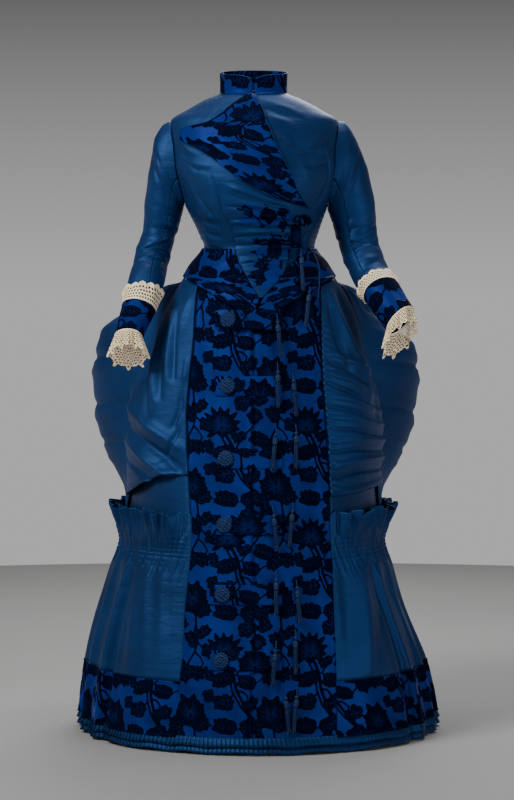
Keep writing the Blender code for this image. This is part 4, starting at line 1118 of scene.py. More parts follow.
def make_cuff(word, table, cuff, handed):
    """Velvet cuff with a lace edging that stands over it and a lace frill below."""
    last = len(table)
    line = sleeve_line(table)
    ring = np.linspace(0, 360, 97) * handed
    start = ring_at(line, last, ring)
    along = ring_at(line, last, ring[:1]) - ring_at(line, last - 0.1, ring[:1])
    along = along[0] / np.linalg.norm(along[0])
    end_line = sleeve_line((cuff[0], cuff[1]))
    end = ring_at(end_line, 1.999, ring)
    share = np.linspace(0, 1, 30)[:, None, None]
    grid = start[None] + along * 0.0006 + (end - start - along * 0.0006)[None] * share
    values = velvet_values(grid, (150 if handed > 0 else 60, 90))
    outward = grid_normals(grid, False)
    grid = grid + outward * pile_rise(values)[..., None]
    piece = grid_mesh(f"cuff_{word}_velvet", grid, "velvet", closed=True, values=values, wall=0.0012)
    declare(piece, f"cuff_{word}")

    fine = np.linspace(0, 360, 24 * LACE_WAVES + 1) * handed
    waves = np.radians(fine * LACE_WAVES)
    scallop = 0.0065 * np.abs(np.cos(waves))[:, None] - 0.003
    small = np.cos(waves * 6)[:, None]
    rows = []
    for share in np.linspace(1, 0, 22):
        ruffle = 0.0018 + 0.0052 * share ** 2 + 0.0014 * share * np.cos(waves + math.radians(40))
        points = ring_at(line, last - 0.02 - 0.50 * share, fine, ruffle)
        rows.append(points - along * (scallop + 0.0006 * small) * share ** 3)
    keep = lace_keep(21, len(fine))
    piece = grid_mesh(f"cuff_lace_{word}_edging", np.array(rows), "lace", closed=True, keep=keep)
    declare(piece, f"cuff_lace_{word}")

    hang = np.array([0.0, 0.25 * along[1], -1.0])
    edge = ring_at(end_line, 1.999, fine)
    middle = edge.mean(axis=0)
    outwards = (edge - middle) / np.linalg.norm(edge - middle, axis=1, keepdims=True)
    ripple = (np.cos(waves) + 0.35 * np.cos(3 * waves))[:, None]
    rows = []
    for share in np.linspace(0, 1, 34):
        flare = 0.009 * share + 0.0055 * ripple * share
        drop = 0.0006 + 0.039 * share
        drop = drop + (scallop - 0.0007 * small) * share ** 4
        rows.append(edge + hang * drop + outwards * flare)
    keep = lace_keep(33, len(fine))
    piece = grid_mesh(f"wrist_lace_{word}_frill", np.array(rows), "lace", closed=True, keep=keep)
    declare(piece, f"wrist_lace_{word}")


def panel_edge(side, height):
    """Angle of the centre front panel's edge on one side."""
    left, right = columns_of(FRONT_PANEL)
    return angle_at(right(height) if side > 0 else left(height), height)


# Slight creases of the front panel, mm
PANEL_CREASES = (
    (14, 1.6, (-90, -420), (-104, -700), (-110, -1100)), (12, -1.4, (-64, -470), (-80, -760)),
    (16, 1.8, (70, -480), (84, -800), (96, -1200)), (14, -1.5, (120, -520), (126, -900), (130, -1280)),
    (18, 1.6, (-40, -900), (-48, -1300)), (12, -1.2, (44, -1000), (52, -1310)),
)


def make_front_panel():
    """Velvet centre front panel, with an inverted pleat at the closing that opens at the hem."""
    left, right = columns_of(FRONT_PANEL)
    shares = np.concatenate((np.linspace(0, 0.44, 62, endpoint=False),
                             np.linspace(0.44, 0.475, 20, endpoint=False),
                             np.linspace(0.475, 1.0, 76)))[None, :]
    level = np.repeat(np.linspace(-0.402, BORDER_BOTTOM, 450)[:, None], shares.shape[1], axis=1)
    x = left(level) + (right(level) - left(level)) * shares
    level = level - 0.052 * bell(x / left(level), 0.55) * ease((level + 0.500) / 0.08)
    x = left(level) + (right(level) - left(level)) * shares
    open_low = ease((-1.14 - level) / 0.16)
    place = x - 0.002 * np.sin(level / MM / 60)
    groove = -0.0052 * bell(place, 0.0038 + 0.006 * open_low)
    lips = (0.0022 * bell(place + 0.0085 + 0.008 * open_low, 0.0055)
            + 0.0018 * bell(place - 0.0095 - 0.009 * open_low, 0.006))
    fan = 0.0024 * open_low * np.cos(place / MM * 0.9) * bell(place, 0.02)
    edge_roll = 0.0010 * (bell(x - left(level) - 0.003, 0.003) + bell(right(level) - x - 0.003, 0.003))
    lift = groove + lips + fan + edge_roll + crease_lift(PANEL_CREASES, x, level)
    angle = angle_at(x, level)
    piece = velvet_cloth("skirt_front_panel_velvet", laid(angle, level, lift), angle, level, lift, (114, 22),
                         fold=0.0014)
    declare(piece, "skirt_front_panel")


# Angle of the skirt's side seams, its lower edge behind the flounce, and its lift
SIDE_SEAM = 88.0
SKIRT_LOW = -0.955
SKIRT_TUCK = -0.0004


def panel_to(side, gap, far_angle):
    """Edges of a piece from the front panel, less a gap in degrees, back to an angle."""
    def edges(height):
        near = panel_edge(side, height) + side * gap
        far = np.full_like(height, far_angle * side)
        return (near, far) if side > 0 else (far, near)

    return edges


def make_skirt_sides():
    """Satin sides and back of the skirt, under the swags, puffs and flounce."""
    for word, side in (("right", -1), ("left", 1)):
        edges = panel_to(side, 0.25, SIDE_SEAM)
        grid = panel_grid((-0.386, SKIRT_LOW), edges, 26, lambda a, h: SKIRT_TUCK + 0 * a, rows=56)[0]
        piece = grid_mesh(f"skirt_side_{word}_satin", grid, "satin", wall=0.001)
        declare(piece, f"skirt_side_{word}")
    grid = panel_grid((-0.433, SKIRT_LOW), lambda h: (SIDE_SEAM + 0 * h, 360 - SIDE_SEAM + 0 * h), 60,
                      lambda a, h: SKIRT_TUCK + 0 * a, rows=52)[0]
    piece = grid_mesh("skirt_back_satin", grid, "satin", wall=0.001)
    declare(piece, "skirt_back")


# Lift of the swags at their edges, at their rounded far edge, and the angle of that edge
SWAG_SEAT = 0.0036
SWAG_TUCK = 0.0024
SWAG_END = 85.8
SWAG_BILLOW = smooth_curve([(-0.39, 0.004), (-0.46, 0.007), (-0.53, 0.012), (-0.60, 0.024),
                            (-0.70, 0.027), (-0.80, 0.015), (-0.86, 0.006)])
# Folds of the swags, mm: width, depth, places (front x, height)
SWAG_RIGHT_FOLDS = (
    (13, -12, (-258, -688), (-200, -738), (-140, -790)),
    (15, 9, (-252, -640), (-196, -700), (-146, -742)),
    (9, -9, (-196, -492), (-204, -570), (-198, -690)),
    (9, 7, (-214, -500), (-224, -590), (-222, -690)),
    (7, -8, (-168, -470), (-178, -560), (-178, -640)),
    (8, 6, (-182, -480), (-191, -570), (-188, -650)),
    (6, -6, (-150, -450), (-158, -520), (-156, -600)),
    (6, 4, (-160, -455), (-168, -530), (-166, -610)),
    (9, -7, (-228, -530), (-240, -610), (-236, -670)),
    (10, 7, (-246, -730), (-200, -776), (-150, -812)),
    (7, -7, (-250, -770), (-205, -806), (-160, -828)),
    (6, -5, (-138, -600), (-146, -660), (-160, -700)),
    (5, 3.5, (-134, -560), (-142, -640), (-152, -690)),
    (5, -4, (-150, -700), (-164, -740), (-190, -770)),
    (8, 4, (-128, -430), (-140, -470), (-150, -500)),
    (5, -4, (-140, -420), (-158, -452), (-172, -470)),
)
SWAG_LEFT_FOLDS = (
    (11, 9, (148, -420), (174, -490), (206, -570), (222, -650)),
    (8, -9, (162, -410), (192, -490), (218, -580), (228, -680)),
    (8, 7, (180, -410), (206, -480), (232, -560)),
    (7, -7, (150, -450), (166, -520), (184, -580)),
    (7, 6, (148, -540), (180, -560), (214, -590)),
    (5, -6, (144, -556), (178, -580), (208, -612)),
    (6, 5, (146, -585), (184, -604), (228, -640)),
    (5, -6, (146, -606), (180, -624), (220, -660)),
    (6, 5, (148, -630), (190, -646), (240, -676)),
    (5, -6, (150, -652), (184, -664), (232, -694)),
    (6, 5, (152, -676), (196, -684), (250, -704)),
    (5, -6, (152, -700), (190, -704), (244, -722)),
    (7, 6, (154, -724), (204, -724), (262, -738)),
    (5, -6, (154, -748), (196, -744), (250, -752)),
    (8, 6, (156, -776), (210, -766), (268, -770)),
    (6, -6, (156, -802), (206, -788), (262, -790)),
)


def make_side_swags():
    """Draped satin over each side of the skirt, gathered into the velvet panel's edge."""
    for word, side, table in (("right", -1, SWAG_RIGHT_FOLDS), ("left", 1, SWAG_LEFT_FOLDS)):
        outer_low, inner_low = (-0.848, -0.792) if side < 0 else (-0.822, -0.838)

        def top(angle):
            return -0.3919 - 0.020 * ease((84.5 - np.abs(angle)) / 50)

        def bottom(angle, outer_low=outer_low, inner_low=inner_low):
            return outer_low + (inner_low - outer_low) * ease((84.5 - np.abs(angle)) / 50)

        def lift(angle, height, side=side, table=table):
            spread = ease((np.abs(angle) - 30) / 30)
            hem = ease((height + 0.870) / 0.03) * ease((-0.395 - height) / 0.04)
            x = body_point(angle, height)[..., 0]
            sharper = [(0.72 * wide, 1.15 * deep, *places) for wide, deep, *places in table]
            folds = crease_lift(sharper, x, height) * hem
            near = np.abs(angle - panel_edge(side, height))
            tucks = 0.0016 * np.sin(height / MM * 2 * math.pi / 13 + near * 0.5) * bell(near, 5) * (side > 0)
            hem_roll = 0.004 * bell(height - bottom(angle) - 0.006, 0.008)
            total = SWAG_SEAT + SWAG_BILLOW(height) * spread + folds + tucks + hem_roll
            total = SWAG_TUCK + (total - SWAG_TUCK) * ease((86.0 - np.abs(angle)) / 6.5)
            return np.maximum(total, 0.0016)

        grid = panel_grid((-0.394, -0.840), panel_to(side, 0.3, SWAG_END), 84, lift, top, bottom, 130)[0]
        piece = grid_mesh(f"swag_{word}_satin", grid, "satin", fold=0.004)
        declare(piece, f"swag_{word}")


# The puffs: degrees over which they rise and turn from side to back, lift at the top edge and
# below it, trims to the outline, valley at the back
PUFF_RISE = 27.0
PUFF_TURN = 62.0
PUFF_TUCK = 0.0021
PUFF_STAND = 0.007
LEFT_PUFF_TRIM = 0.034
RIGHT_PUFF_TRIM = 0.016
PUFF_VALLEY = 0.006
# Draped folds round the back, metres: height at the side, sag at the back, width, depth
PUFF_FOLDS = (
    (-0.440, -0.120, 0.020, -0.013),
    (-0.520, -0.140, 0.024, -0.018),
    (-0.615, -0.130, 0.026, -0.020),
    (-0.705, -0.100, 0.024, -0.016),
    (-0.775, -0.060, 0.018, -0.010),
)
# Smaller folds of the puffs, mm: width, depth, places (degrees past the side x 2.2, height)
PUFF_CREASES = (
    (7, 7, (30, -430), (60, -480), (120, -520), (190, -530)),
    (6, -7, (26, -450), (58, -505), (116, -548)),
    (7, 6, (20, -500), (60, -560), (130, -600), (196, -590)),
    (6, -8, (10, -560), (54, -604), (110, -634)),
    (7, 6, (10, -590), (60, -640), (130, -680), (196, -664)),
    (6, -7, (4, -650), (50, -690), (112, -712)),
    (8, 6, (6, -680), (60, -722), (130, -748), (196, -736)),
    (6, -7, (8, -740), (60, -766), (120, -784)),
    (6, 5, (12, -780), (70, -804), (140, -816), (196, -806)),
    (5, -5, (70, -430), (100, -470), (120, -560), (118, -640)),
    (6, 5, (92, -428), (124, -476), (148, -560), (150, -640)),
    (5, -5, (140, -430), (160, -500), (172, -600)),
    (6, 5, (168, -440), (182, -520), (188, -640), (186, -760)),
)


def puff_lift(angle, height, drop):
    """Distance of the puff's outer face from the body surface."""
    turn = np.abs(angle)
    rise = ease((turn - PUFF_EDGE_ANGLE) / PUFF_RISE)
    mix = ease((turn - 106) / PUFF_TURN)
    sideways = (PUFF_SIDE(height) - BODY_HALF(height)) * 1.16
    sideways = sideways - LEFT_PUFF_TRIM * (angle > 0) * bell(height + 0.505, 0.045)
    sideways = sideways - RIGHT_PUFF_TRIM * (angle < 0) * bell(height + 0.48, 0.03)
    backwards = PUFF_BACK(height) - BODY_BACK(height)
    out = rise * (sideways * (1 - mix) + backwards * mix) * ease(drop / 0.10 + 0.12)
    lift = PUFF_TUCK + PUFF_STAND * ease(drop / 0.08) + out
    lift = lift - PUFF_VALLEY * bell(180 - turn, 9) * rise * np.sin(math.pi * drop)
    for side_height, sag, width, depth in PUFF_FOLDS:
        line = side_height + sag * np.sin(np.radians(turn - 90))
        line = line + 0.006 * np.sin(turn * 0.13 + side_height * 90)
        lift = lift + depth * bell(height - line, width) * ease((turn - 122) / 36)
    return lift


# Lower edge of the puffs, tucked behind the heading of the flounce
PUFF_LOW = -0.886


def make_bustle_puffs():
    """Two halves of the draped bustle, which meet in a valley at the centre back."""
    for word, side in (("right", -1), ("left", 1)):
        angle = np.linspace(PUFF_EDGE_ANGLE, 179.95, 116) * side
        if side < 0:
            angle = angle[::-1]
        drop = np.linspace(0, 1, 112)[:, None]
        top = BASQUE_SIDE - 0.030 * ease(1 - np.abs(np.abs(angle) - 180) / 90) - 0.0007
        level = top + (PUFF_LOW - top) * drop
        angle = np.repeat(angle[None, :], 112, axis=0)
        along = (np.abs(angle) - PUFF_EDGE_ANGLE) * 2.2 * MM
        shift = 0.010 * side * np.sin((np.abs(angle) - 90) / 30)
        creases = crease_lift(PUFF_CREASES, along, level + shift)
        turn = np.abs(angle)
        inside = ease(drop / 0.06) * ease((1 - drop) / 0.05) * ease((turn - PUFF_EDGE_ANGLE) / 6)
        pleats = np.cos(turn * 1.15 + 0.8 * np.sin(turn * 0.29)) + 0.5 * np.cos(turn * 2.1 + 1)
        creases = creases + 0.0032 * pleats * (bell(drop - 0.07, 0.09) + 0.8 * bell(drop - 0.95, 0.05))
        creases = creases * (0.80 + 0.40 * ease((turn - 112) / 34))
        lift = puff_lift(angle, level, drop) + creases * inside
        past = np.maximum(lift - hem_lift(angle, HEADING_TOP) + 0.012, 0)
        grid = laid(angle, level, lift - past * ease((-0.850 - level) / 0.024))
        piece = grid_mesh(f"bustle_puff_{word}_satin", grid, "satin", fold=0.004)
        declare(piece, f"bustle_puff_{word}")


SMOOTH_PART_END = 52.0
FLOUNCE_LIFT = smooth_curve([(-0.872, 0.034), (-0.925, 0.016), (-0.948, 0.008), (-0.968, 0.009),
                             (-1.010, 0.015), (-1.110, 0.016), (-1.200, 0.014), (-1.348, 0.012)])
GATHER_DEPTH = smooth_curve([(-0.872, 0.006), (-0.925, 0.003), (-0.948, 0.0008), (-0.968, 0.003),
                             (-1.020, 0.016), (-1.110, 0.022), (-1.200, 0.023), (-1.318, 0.021)])
# Depth of the small puckers that the shirring draws in, and of the ruffle of the heading
PUCKERS = smooth_curve([(-0.872, 0.0), (-0.902, 0.0003), (-0.920, 0.0016), (-0.960, 0.0018), (-0.975, 0.0016),
                        (-1.000, 0.0005), (-1.035, 0.0), (-1.348, 0.0)])
RUFFLE = smooth_curve([(-0.872, 0.0085), (-0.895, 0.0055), (-0.918, 0.0018), (-0.930, 0.0), (-1.348, 0.0)])
SHIRRING_ROWS = (-0.926, -0.9345, -0.943, -0.9515, -0.960)
# Soft folds of the smooth part, mm: width, depth, places (distance from the side, height)
SMOOTH_FOLDS = (
    (12, -5, (-190, -985), (-196, -1080), (-206, -1200)),
    (10, 4, (-222, -990), (-236, -1090), (-246, -1200)),
    (8, -3, (-168, -975), (-172, -1040), (-174, -1110)),
    (7, 2.5, (-206, -975), (-212, -1030), (-216, -1100)),
    (12, -4, (182, -985), (190, -1070), (196, -1190)),
    (10, 5, (212, -980), (222, -1080), (230, -1200)),
    (7, -3, (232, -975), (246, -1060), (252, -1140)),
    (8, 2.5, (166, -990), (170, -1060), (174, -1120)),
)


def panel_end(angle, height):
    """Degrees from the centre front to the front panel's edge on the side of an angle."""
    return np.where(angle > 0, panel_edge(1, height), -panel_edge(-1, height))


def hem_lift(angle, height):
    """Outer face of the flounce, border and frill without their gathers."""
    near = panel_end(angle, height)
    trim = 0.014 * (angle > 0) * bell(height + 1.11, 0.10) * ease((np.abs(angle) - 45) / 30)
    return 0.0022 + FLOUNCE_LIFT(height) * ease((np.abs(angle) - near) / 13) - trim


def gather_lift(angle, height):
    """Deep soft gathers behind the smooth side front, puckers at the shirring and the ruffle."""
    turn = np.abs(angle)
    phase = (turn - SMOOTH_PART_END) / (180 - SMOOTH_PART_END) * (FLOUNCE_GATHERS - 0.5) * 2 * math.pi
    drift = 0.7 * np.sin(turn * 0.33) + 1.1 * (height + 1.1) * np.sin(turn * 0.9)
    uneven = 0.70 + 0.30 * np.sin(turn * 0.21 + 1.0)
    wave = 0.5 * np.cos(phase + drift) - 0.42 + 0.10 * np.cos(2 * (phase + drift) + 0.8)
    deep = GATHER_DEPTH(height) * wave * uneven
    clear = ease((turn - panel_end(angle, height)) / 4)
    row = np.floor(height / 0.0085)
    small = (np.sin(turn * 2.6 + 1.3 * np.sin(turn * 0.7) + 0.9 * row)
             + 0.6 * np.sin(turn * 4.4 + 1.7 * row + np.sin(turn)))
    ruffle = (np.sin(turn * 0.92 + 1.4 * np.sin(turn * 0.27)) + 0.2 * np.sin(turn * 3.3)
              + 0.55 * np.sin(turn * 1.75 + 2.1 * np.sin(turn * 0.19)))
    folds = crease_lift(SMOOTH_FOLDS, body_point(angle, height)[..., 0], height)
    cords = sum(bell(height - place, 0.0016) for place in SHIRRING_ROWS)
    return (deep * ease((turn - SMOOTH_PART_END + 4) / 10) + folds * ease((-0.965 - height) / 0.03)
            + (PUCKERS(height) * small + RUFFLE(height) * ruffle - 0.0018 * cords) * clear)


# How far the flounce and border run under the front panel, degrees
HEM_UNDERLAP = 0.8


def hem_grid(side, levels, cols, sag=0.0):
    """Grid of one side of the flounce or border, denser in its gathers."""
    level = np.repeat(np.asarray(levels)[:, None], cols, axis=1)
    edge = np.abs(panel_edge(side, level[:, :1])) - HEM_UNDERLAP
    share = np.linspace(0, 1, cols)[None, :] ** 0.92
    angle = (edge + (179.99 - edge) * share) * side
    ragged = sag * (np.sin(np.abs(angle) * 0.83) + 0.7 * np.sin(np.abs(angle) * 0.31 + side))
    level = level + ragged * bell(level - levels[0], 0.03)
    lift = np.maximum(hem_lift(angle, level) + gather_lift(angle, level), 0.0014)
    lift = lift - (lift + 0.0016) * ease(1.3 - (np.abs(angle) - edge) / HEM_UNDERLAP)
    return [table[:, ::side] for table in (angle, level, lift)]


def make_flounce():
    """Gathered satin flounce with its heading and shirring, and the velvet border below."""
    levels = np.concatenate((np.linspace(HEADING_TOP, -0.985, 46),
                             np.linspace(-0.992, BORDER_TOP + 0.0004, 26)))
    for word, side in (("right", -1), ("left", 1)):
        angle, level, lift = hem_grid(side, levels, 410, 0.0048)
        piece = grid_mesh(f"flounce_{word}_satin", laid(angle, level, lift), "satin", fold=0.003)
        declare(piece, f"flounce_{word}")

        angle, level, lift = hem_grid(side, np.linspace(BORDER_TOP, BORDER_BOTTOM, 52), 430)
        edge_roll = 0.0014 * (bell(level - BORDER_TOP, 0.003) + bell(level - BORDER_BOTTOM, 0.003))
        piece = velvet_cloth(f"hem_border_{word}_velvet", laid(angle, level, lift), angle, level,
                             lift + edge_roll, (60 if side > 0 else 130, 96), fold=0.0014)
        declare(piece, f"hem_border_{word}")


# One knife pleat: share of its width, share of its depth; the last points turn back under
KNIFE_PLEAT = ((0.0, 0.10), (0.45, 0.60), (0.93, 1.0), (0.985, 0.86), (0.80, 0.38))
# The two rows: name, top, lower edge, how far it stands out, metres, and its flare
PLEAT_ROWS = (("lower", -1.3325, FRILL_BOTTOM + 0.0008, -0.0004, 0.9),
              ("upper", BORDER_BOTTOM + 0.0040, -1.3345, 0.0008, 1.0))


def make_knife_pleats():
    """Two rows of knife pleats all round below the border, which hang with its gathers."""
    count = size("pleats")
    pleat = np.repeat(np.arange(count), len(KNIFE_PLEAT))
    shares, depths = (np.tile([point[k] for point in KNIFE_PLEAT], count) for k in (0, 1))
    angle = np.append((pleat + shares) / count, 1.0)[None, :] * 360
    depths = np.append(depths, KNIFE_PLEAT[0][1]) * (1 + 0.25 * np.sin(np.append(pleat, 0) * 1.7))
    wrapped = np.where(angle > 180, angle - 360, angle)
    wavy = 0.0016 * (1 + np.sin(np.abs(wrapped) * 0.37 + 1.3 * np.sin(wrapped * 0.11)))
    gathers = gather_lift(wrapped, BORDER_BOTTOM + 0 * wrapped)
    pieces = []
    for word, top, low, stand, flare in PLEAT_ROWS:
        rows = []
        for share in np.linspace(0, 1, 4):
            level = top + (low - top) * share
            hung = np.maximum(hem_lift(wrapped, level) + gathers, 0.0046)
            lift = hung + 0.0036 * depths * flare * (0.35 + 0.65 * share) + stand - 0.0042 * (1 - 0.6 * share)
            rows.append(laid(angle, level + wavy * share, lift)[0])
        pieces.append(grid_mesh(f"hem_pleats_{word}", np.array(rows), "satin", closed=True, wall=0.0008))
    lower, upper = pieces
    declare(lower, "hem_frill")
    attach(upper, "root")


# Button: height over its rim from the rim (0) to the middle (1)
BUTTON_OUTLINE = smooth_curve([(0.0, 0.0), (0.10, 0.0030), (0.20, 0.0040), (0.32, 0.0030), (0.45, 0.0052),
                               (0.60, 0.0044), (0.80, 0.0060), (0.93, 0.0056), (1.0, 0.0058)])


def button_x(height):
    """The column of buttons leans slightly outwards towards the hem."""
    return BUTTON_X + BUTTON_DRIFT * (height - BUTTON_HEIGHTS[0])


def tab_lift(height):
    """The first tab lies on the points of the hip panels, the others on the skirt."""
    return LIFT_TAB + (LIFT_TRIM if height > HIP_TIP else 0.0)


def front_place(x, height, lift):
    """A place in front of the cloth, and the directions across and outwards there."""
    height = np.array(height)
    angle = angle_at(np.array(x), height)
    outward = body_normal(angle, height)
    across = np.cross(UP, outward)
    return laid(angle, height, lift), across / np.linalg.norm(across), outward


def make_button(name, node, x, middle, lift):
    """Button covered with netted gimp: a scalloped rim, a ring and a carved star."""
    turns = np.linspace(0, 2 * math.pi, 97)[None, :]
    share = np.concatenate((np.linspace(0, 0.12, 3), np.linspace(0.16, 1.0, 26)))[:, None]
    radius = BUTTON_RADIUS * (1.0 - share) * (1 + 0.055 * np.cos(turns * 16) * (1 - share) ** 2)
    out = BUTTON_OUTLINE(share) + 0.0007 * np.cos(turns * 16 + share * 9) * bell(share - 0.28, 0.16)
    out = out + 0.0008 * np.cos(turns * 8 - share * 5) * bell(share - 0.62, 0.18)
    out = out + 0.0004 * np.sin(share * 40) * (share > 0.3)
    centre, across, outward = front_place(x, middle, lift + 0.0006)
    grid = (centre + (radius * np.cos(turns))[..., None] * across + out[..., None] * outward
            + (radius * np.sin(turns))[..., None] * np.cross(outward, across))
    declare(grid_mesh(name, grid, "button", closed=True), node)


def make_closing_tabs():
    """Six buttons, each on a velvet tab across the centre opening."""
    for k, middle in enumerate(BUTTON_HEIGHTS, start=1):
        lift = tab_lift(middle)
        x = button_x(middle)

        def edges(height, x=x):
            return angle_at(x + TAB_START, height), angle_at(TAB_REACH, height)

        grid, angle, level = panel_grid((middle + TAB_HALF_HEIGHT, middle - TAB_HALF_HEIGHT), edges, 62,
                                        lambda a, h: lift, rows=26)
        off = np.abs(level - middle) / TAB_HALF_HEIGHT
        roll = 0.0014 * (1 - off ** 6) + 0.0006 * np.sin(grid[..., 0] / MM * 0.11 + k)
        piece = velvet_cloth(f"tab_{k}_velvet", grid, angle, level, lift + roll, (30 + 47 * k, 20 + 61 * k),
                             fold=0.0016)
        declare(piece, f"tab_{k}")
        make_button(f"button_{k}_gimp", f"button_{k}", x, middle, lift + 0.0014)


# Tassels, metres: radius of the cord, thickness and rings of a strand, and the outline of the
# head as distance below the ball's top and radius
CORD_RADIUS = 0.0011
STRAND_THICK = 0.00105
STRAND_RINGS = 9
TASSEL_OUTLINE = ((0.0, 0.0012), (0.0012, 0.0030), (0.0035, 0.0042), (0.0058, 0.0030), (0.0068, 0.0018),
                  (0.0080, 0.0022), (0.0100, 0.0040), (0.0130, 0.0048), (0.0170, 0.0046), (0.0215, 0.0042))


def seat_under(x, height):
    """Lift of what lies under a place on the front: hip panel, tab or skirt."""
    if height > HIP_TIP:
        return LIFT_TRIM + 0.0020
    for middle in BUTTON_HEIGHTS:
        if abs(height - middle) < TAB_HALF_HEIGHT + 0.0025 and x < TAB_REACH + 0.005:
            return tab_lift(middle) + 0.0020
    return 0.0012


def ring_faces(start, rows, sides):
    """Faces of a closed form of rings of points, with its two ends."""
    index = start + np.arange(rows * sides).reshape(rows, sides)
    right = np.roll(index, -1, axis=1)
    faces = np.stack((index[:-1], index[1:], right[1:], right[:-1]), axis=-1).reshape(-1, 4).tolist()
    return faces + [index[0, ::-1].tolist(), index[-1].tolist()]


def make_tassel(name, node, x, top, cord, lean):
    """Cord, ball, fluted head and a skirt of fine twisted strands."""
    strand, count = size("strand"), size("strands")
    length = cord + TASSEL_OUTLINE[-1][0] + strand
    seat = max(seat_under(x, top - length * share) for share in np.linspace(0.1, 1.0, 19))
    lift = seat + 0.0048
    stations = [(0.0, CORD_RADIUS, seat_under(x, top) + 0.0014), (cord * 0.5, CORD_RADIUS, lift * 0.9),
                (cord * 0.98, CORD_RADIUS, lift)]
    stations += [(cord + down, radius, lift) for down, radius in TASSEL_OUTLINE]
    down = np.interp(np.linspace(0, 1, 46), np.linspace(0, 1, len(stations)), [s[0] for s in stations])
    radius, out = (smooth_curve([(s[0], s[k]) for s in stations])(down) for k in (1, 2))
    turns = np.linspace(0, 2 * math.pi, 37)
    rows = []
    for d, r, o in zip(down, radius, out):
        centre, across, outward = front_place(x + lean * d, top - d, o)
        fluted = r * (1 + 0.13 * np.cos(turns * 9) * ease((d - cord - 0.008) / 0.004))
        spun = r * 0.05 * np.sin(turns * 2 + d / MM * 2.2)
        rows.append(centre + (fluted + spun)[:, None] * (np.cos(turns)[:, None] * across
                                                         + np.sin(turns)[:, None] * outward))
    grid = np.array(rows)[:, ::-1]
    verts = list(grid[:, :-1].reshape(-1, 3))
    faces = ring_faces(0, grid.shape[0], grid.shape[1] - 1)
    base = cord + TASSEL_OUTLINE[-1][0] - 0.001
    for k in range(count):
        turn = 2 * math.pi * k / count
        spread = 0.0034 if k % 3 else 0.0016
        fall = strand * (0.93 + 0.06 * math.sin(k * 2.7 + x * 300))
        faces += ring_faces(len(verts), STRAND_RINGS, 4)
        points = []
        for share in np.linspace(0, 1, STRAND_RINGS):
            wide = spread * (1 + 0.10 * share + 0.16 * math.sin(share * 5 + k * 1.7) * share)
            centre, across, outward = front_place(x + lean * (base + fall * share),
                                                  top - base - fall * share, lift - 0.0004 * share)
            points.append(centre + across * wide * math.cos(turn) + outward * wide * math.sin(turn) * 0.85)
        for ring, point in enumerate(points):
            thick = STRAND_THICK * (1 - 0.25 * ring / (STRAND_RINGS - 1))
            for c in range(4):
                a = math.pi / 4 + c * math.pi / 2 + 0.25 * ring
                verts.append(point + thick * (math.cos(a) * across + math.sin(a) * outward))
    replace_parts(plain_mesh(name, verts, faces, "tassel"), node)


# Cord sewn at the wearer's left waist, mm: front x, height
WAIST_CORD = ((111, -333), (120, -352), (126, -368), (128, -384), (127, -410), (125, -440))


def make_tassels():
    """Pairs of tassels down the front panel, one at the waist, and the cord beside it."""
    for k, (x, top, cord) in enumerate(FRONT_TASSELS, start=1):
        lean = 0.10 * math.sin(k * 2.1)
        make_tassel(f"tassel_{k:02d}_silk", f"tassel_{k:02d}", x * MM, top * MM, cord * MM, lean)
    x, top, cord = WAIST_TASSEL
    make_tassel("tassel_waist_silk", "tassel_waist", x * MM, top * MM, cord * MM, 0.06)
    steps = np.linspace(0, len(WAIST_CORD) - 1, 40)
    across, height = (smooth_curve([(k, p[c] * MM) for k, p in enumerate(WAIST_CORD)])(steps) for c in (0, 1))
    line = laid(angle_at(across, height), height, LIFT_TRIM + 0.0050)
    tube("waist_cord_sewn", line, 0.0012, "tassel", sides=8)


def place_item(name, data, place, target):
    """Light or camera at a place, turned towards another."""
    made = bpy.data.objects.new(name, data)
    made.location = place
    made.rotation_euler = (Vector(target) - made.location).to_track_quat("-Z", "Y").to_euler()
    bpy.context.scene.collection.objects.link(made)
    return made


FLOOR = -1.3495
FLOOR_REACH = 3.4
# Camera: place, target, metres, and lens for a sensor of this height, mm
CAMERA_PLACE = (0.0, -6.5, -0.30)
CAMERA_TARGET = (0.006, 0.0, -0.6465)
CAMERA_LENS = 92.9
CAMERA_SENSOR = 24.0
# Soft square lights: name, place, target, size, metres, and colour
LIGHTS = (
    ("key", (-2.6, -2.4, 1.9), (0.0, 0.0, -0.65), 1.6, "#FFFFFF"),
    ("fill", (3.0, -3.1, -0.7), (0.0, 0.0, -0.9), 1.7, "#F2F6FF"),
    ("top", (0.3, 0.4, 2.6), (0.0, 0.0, -0.65), 1.8, "#FFFFFF"),
    ("back", (0.5, 2.3, 1.4), (0.0, 0.3, -0.7), 1.6, "#FFFFFF"),
)
# The air: its colour, the upward share of a direction between which it darkens, and how far
AIR = (0.46, 0.45, 0.46)
AIR_LOW = -0.02
AIR_HIGH = 0.09
AIR_ABOVE = 0.18


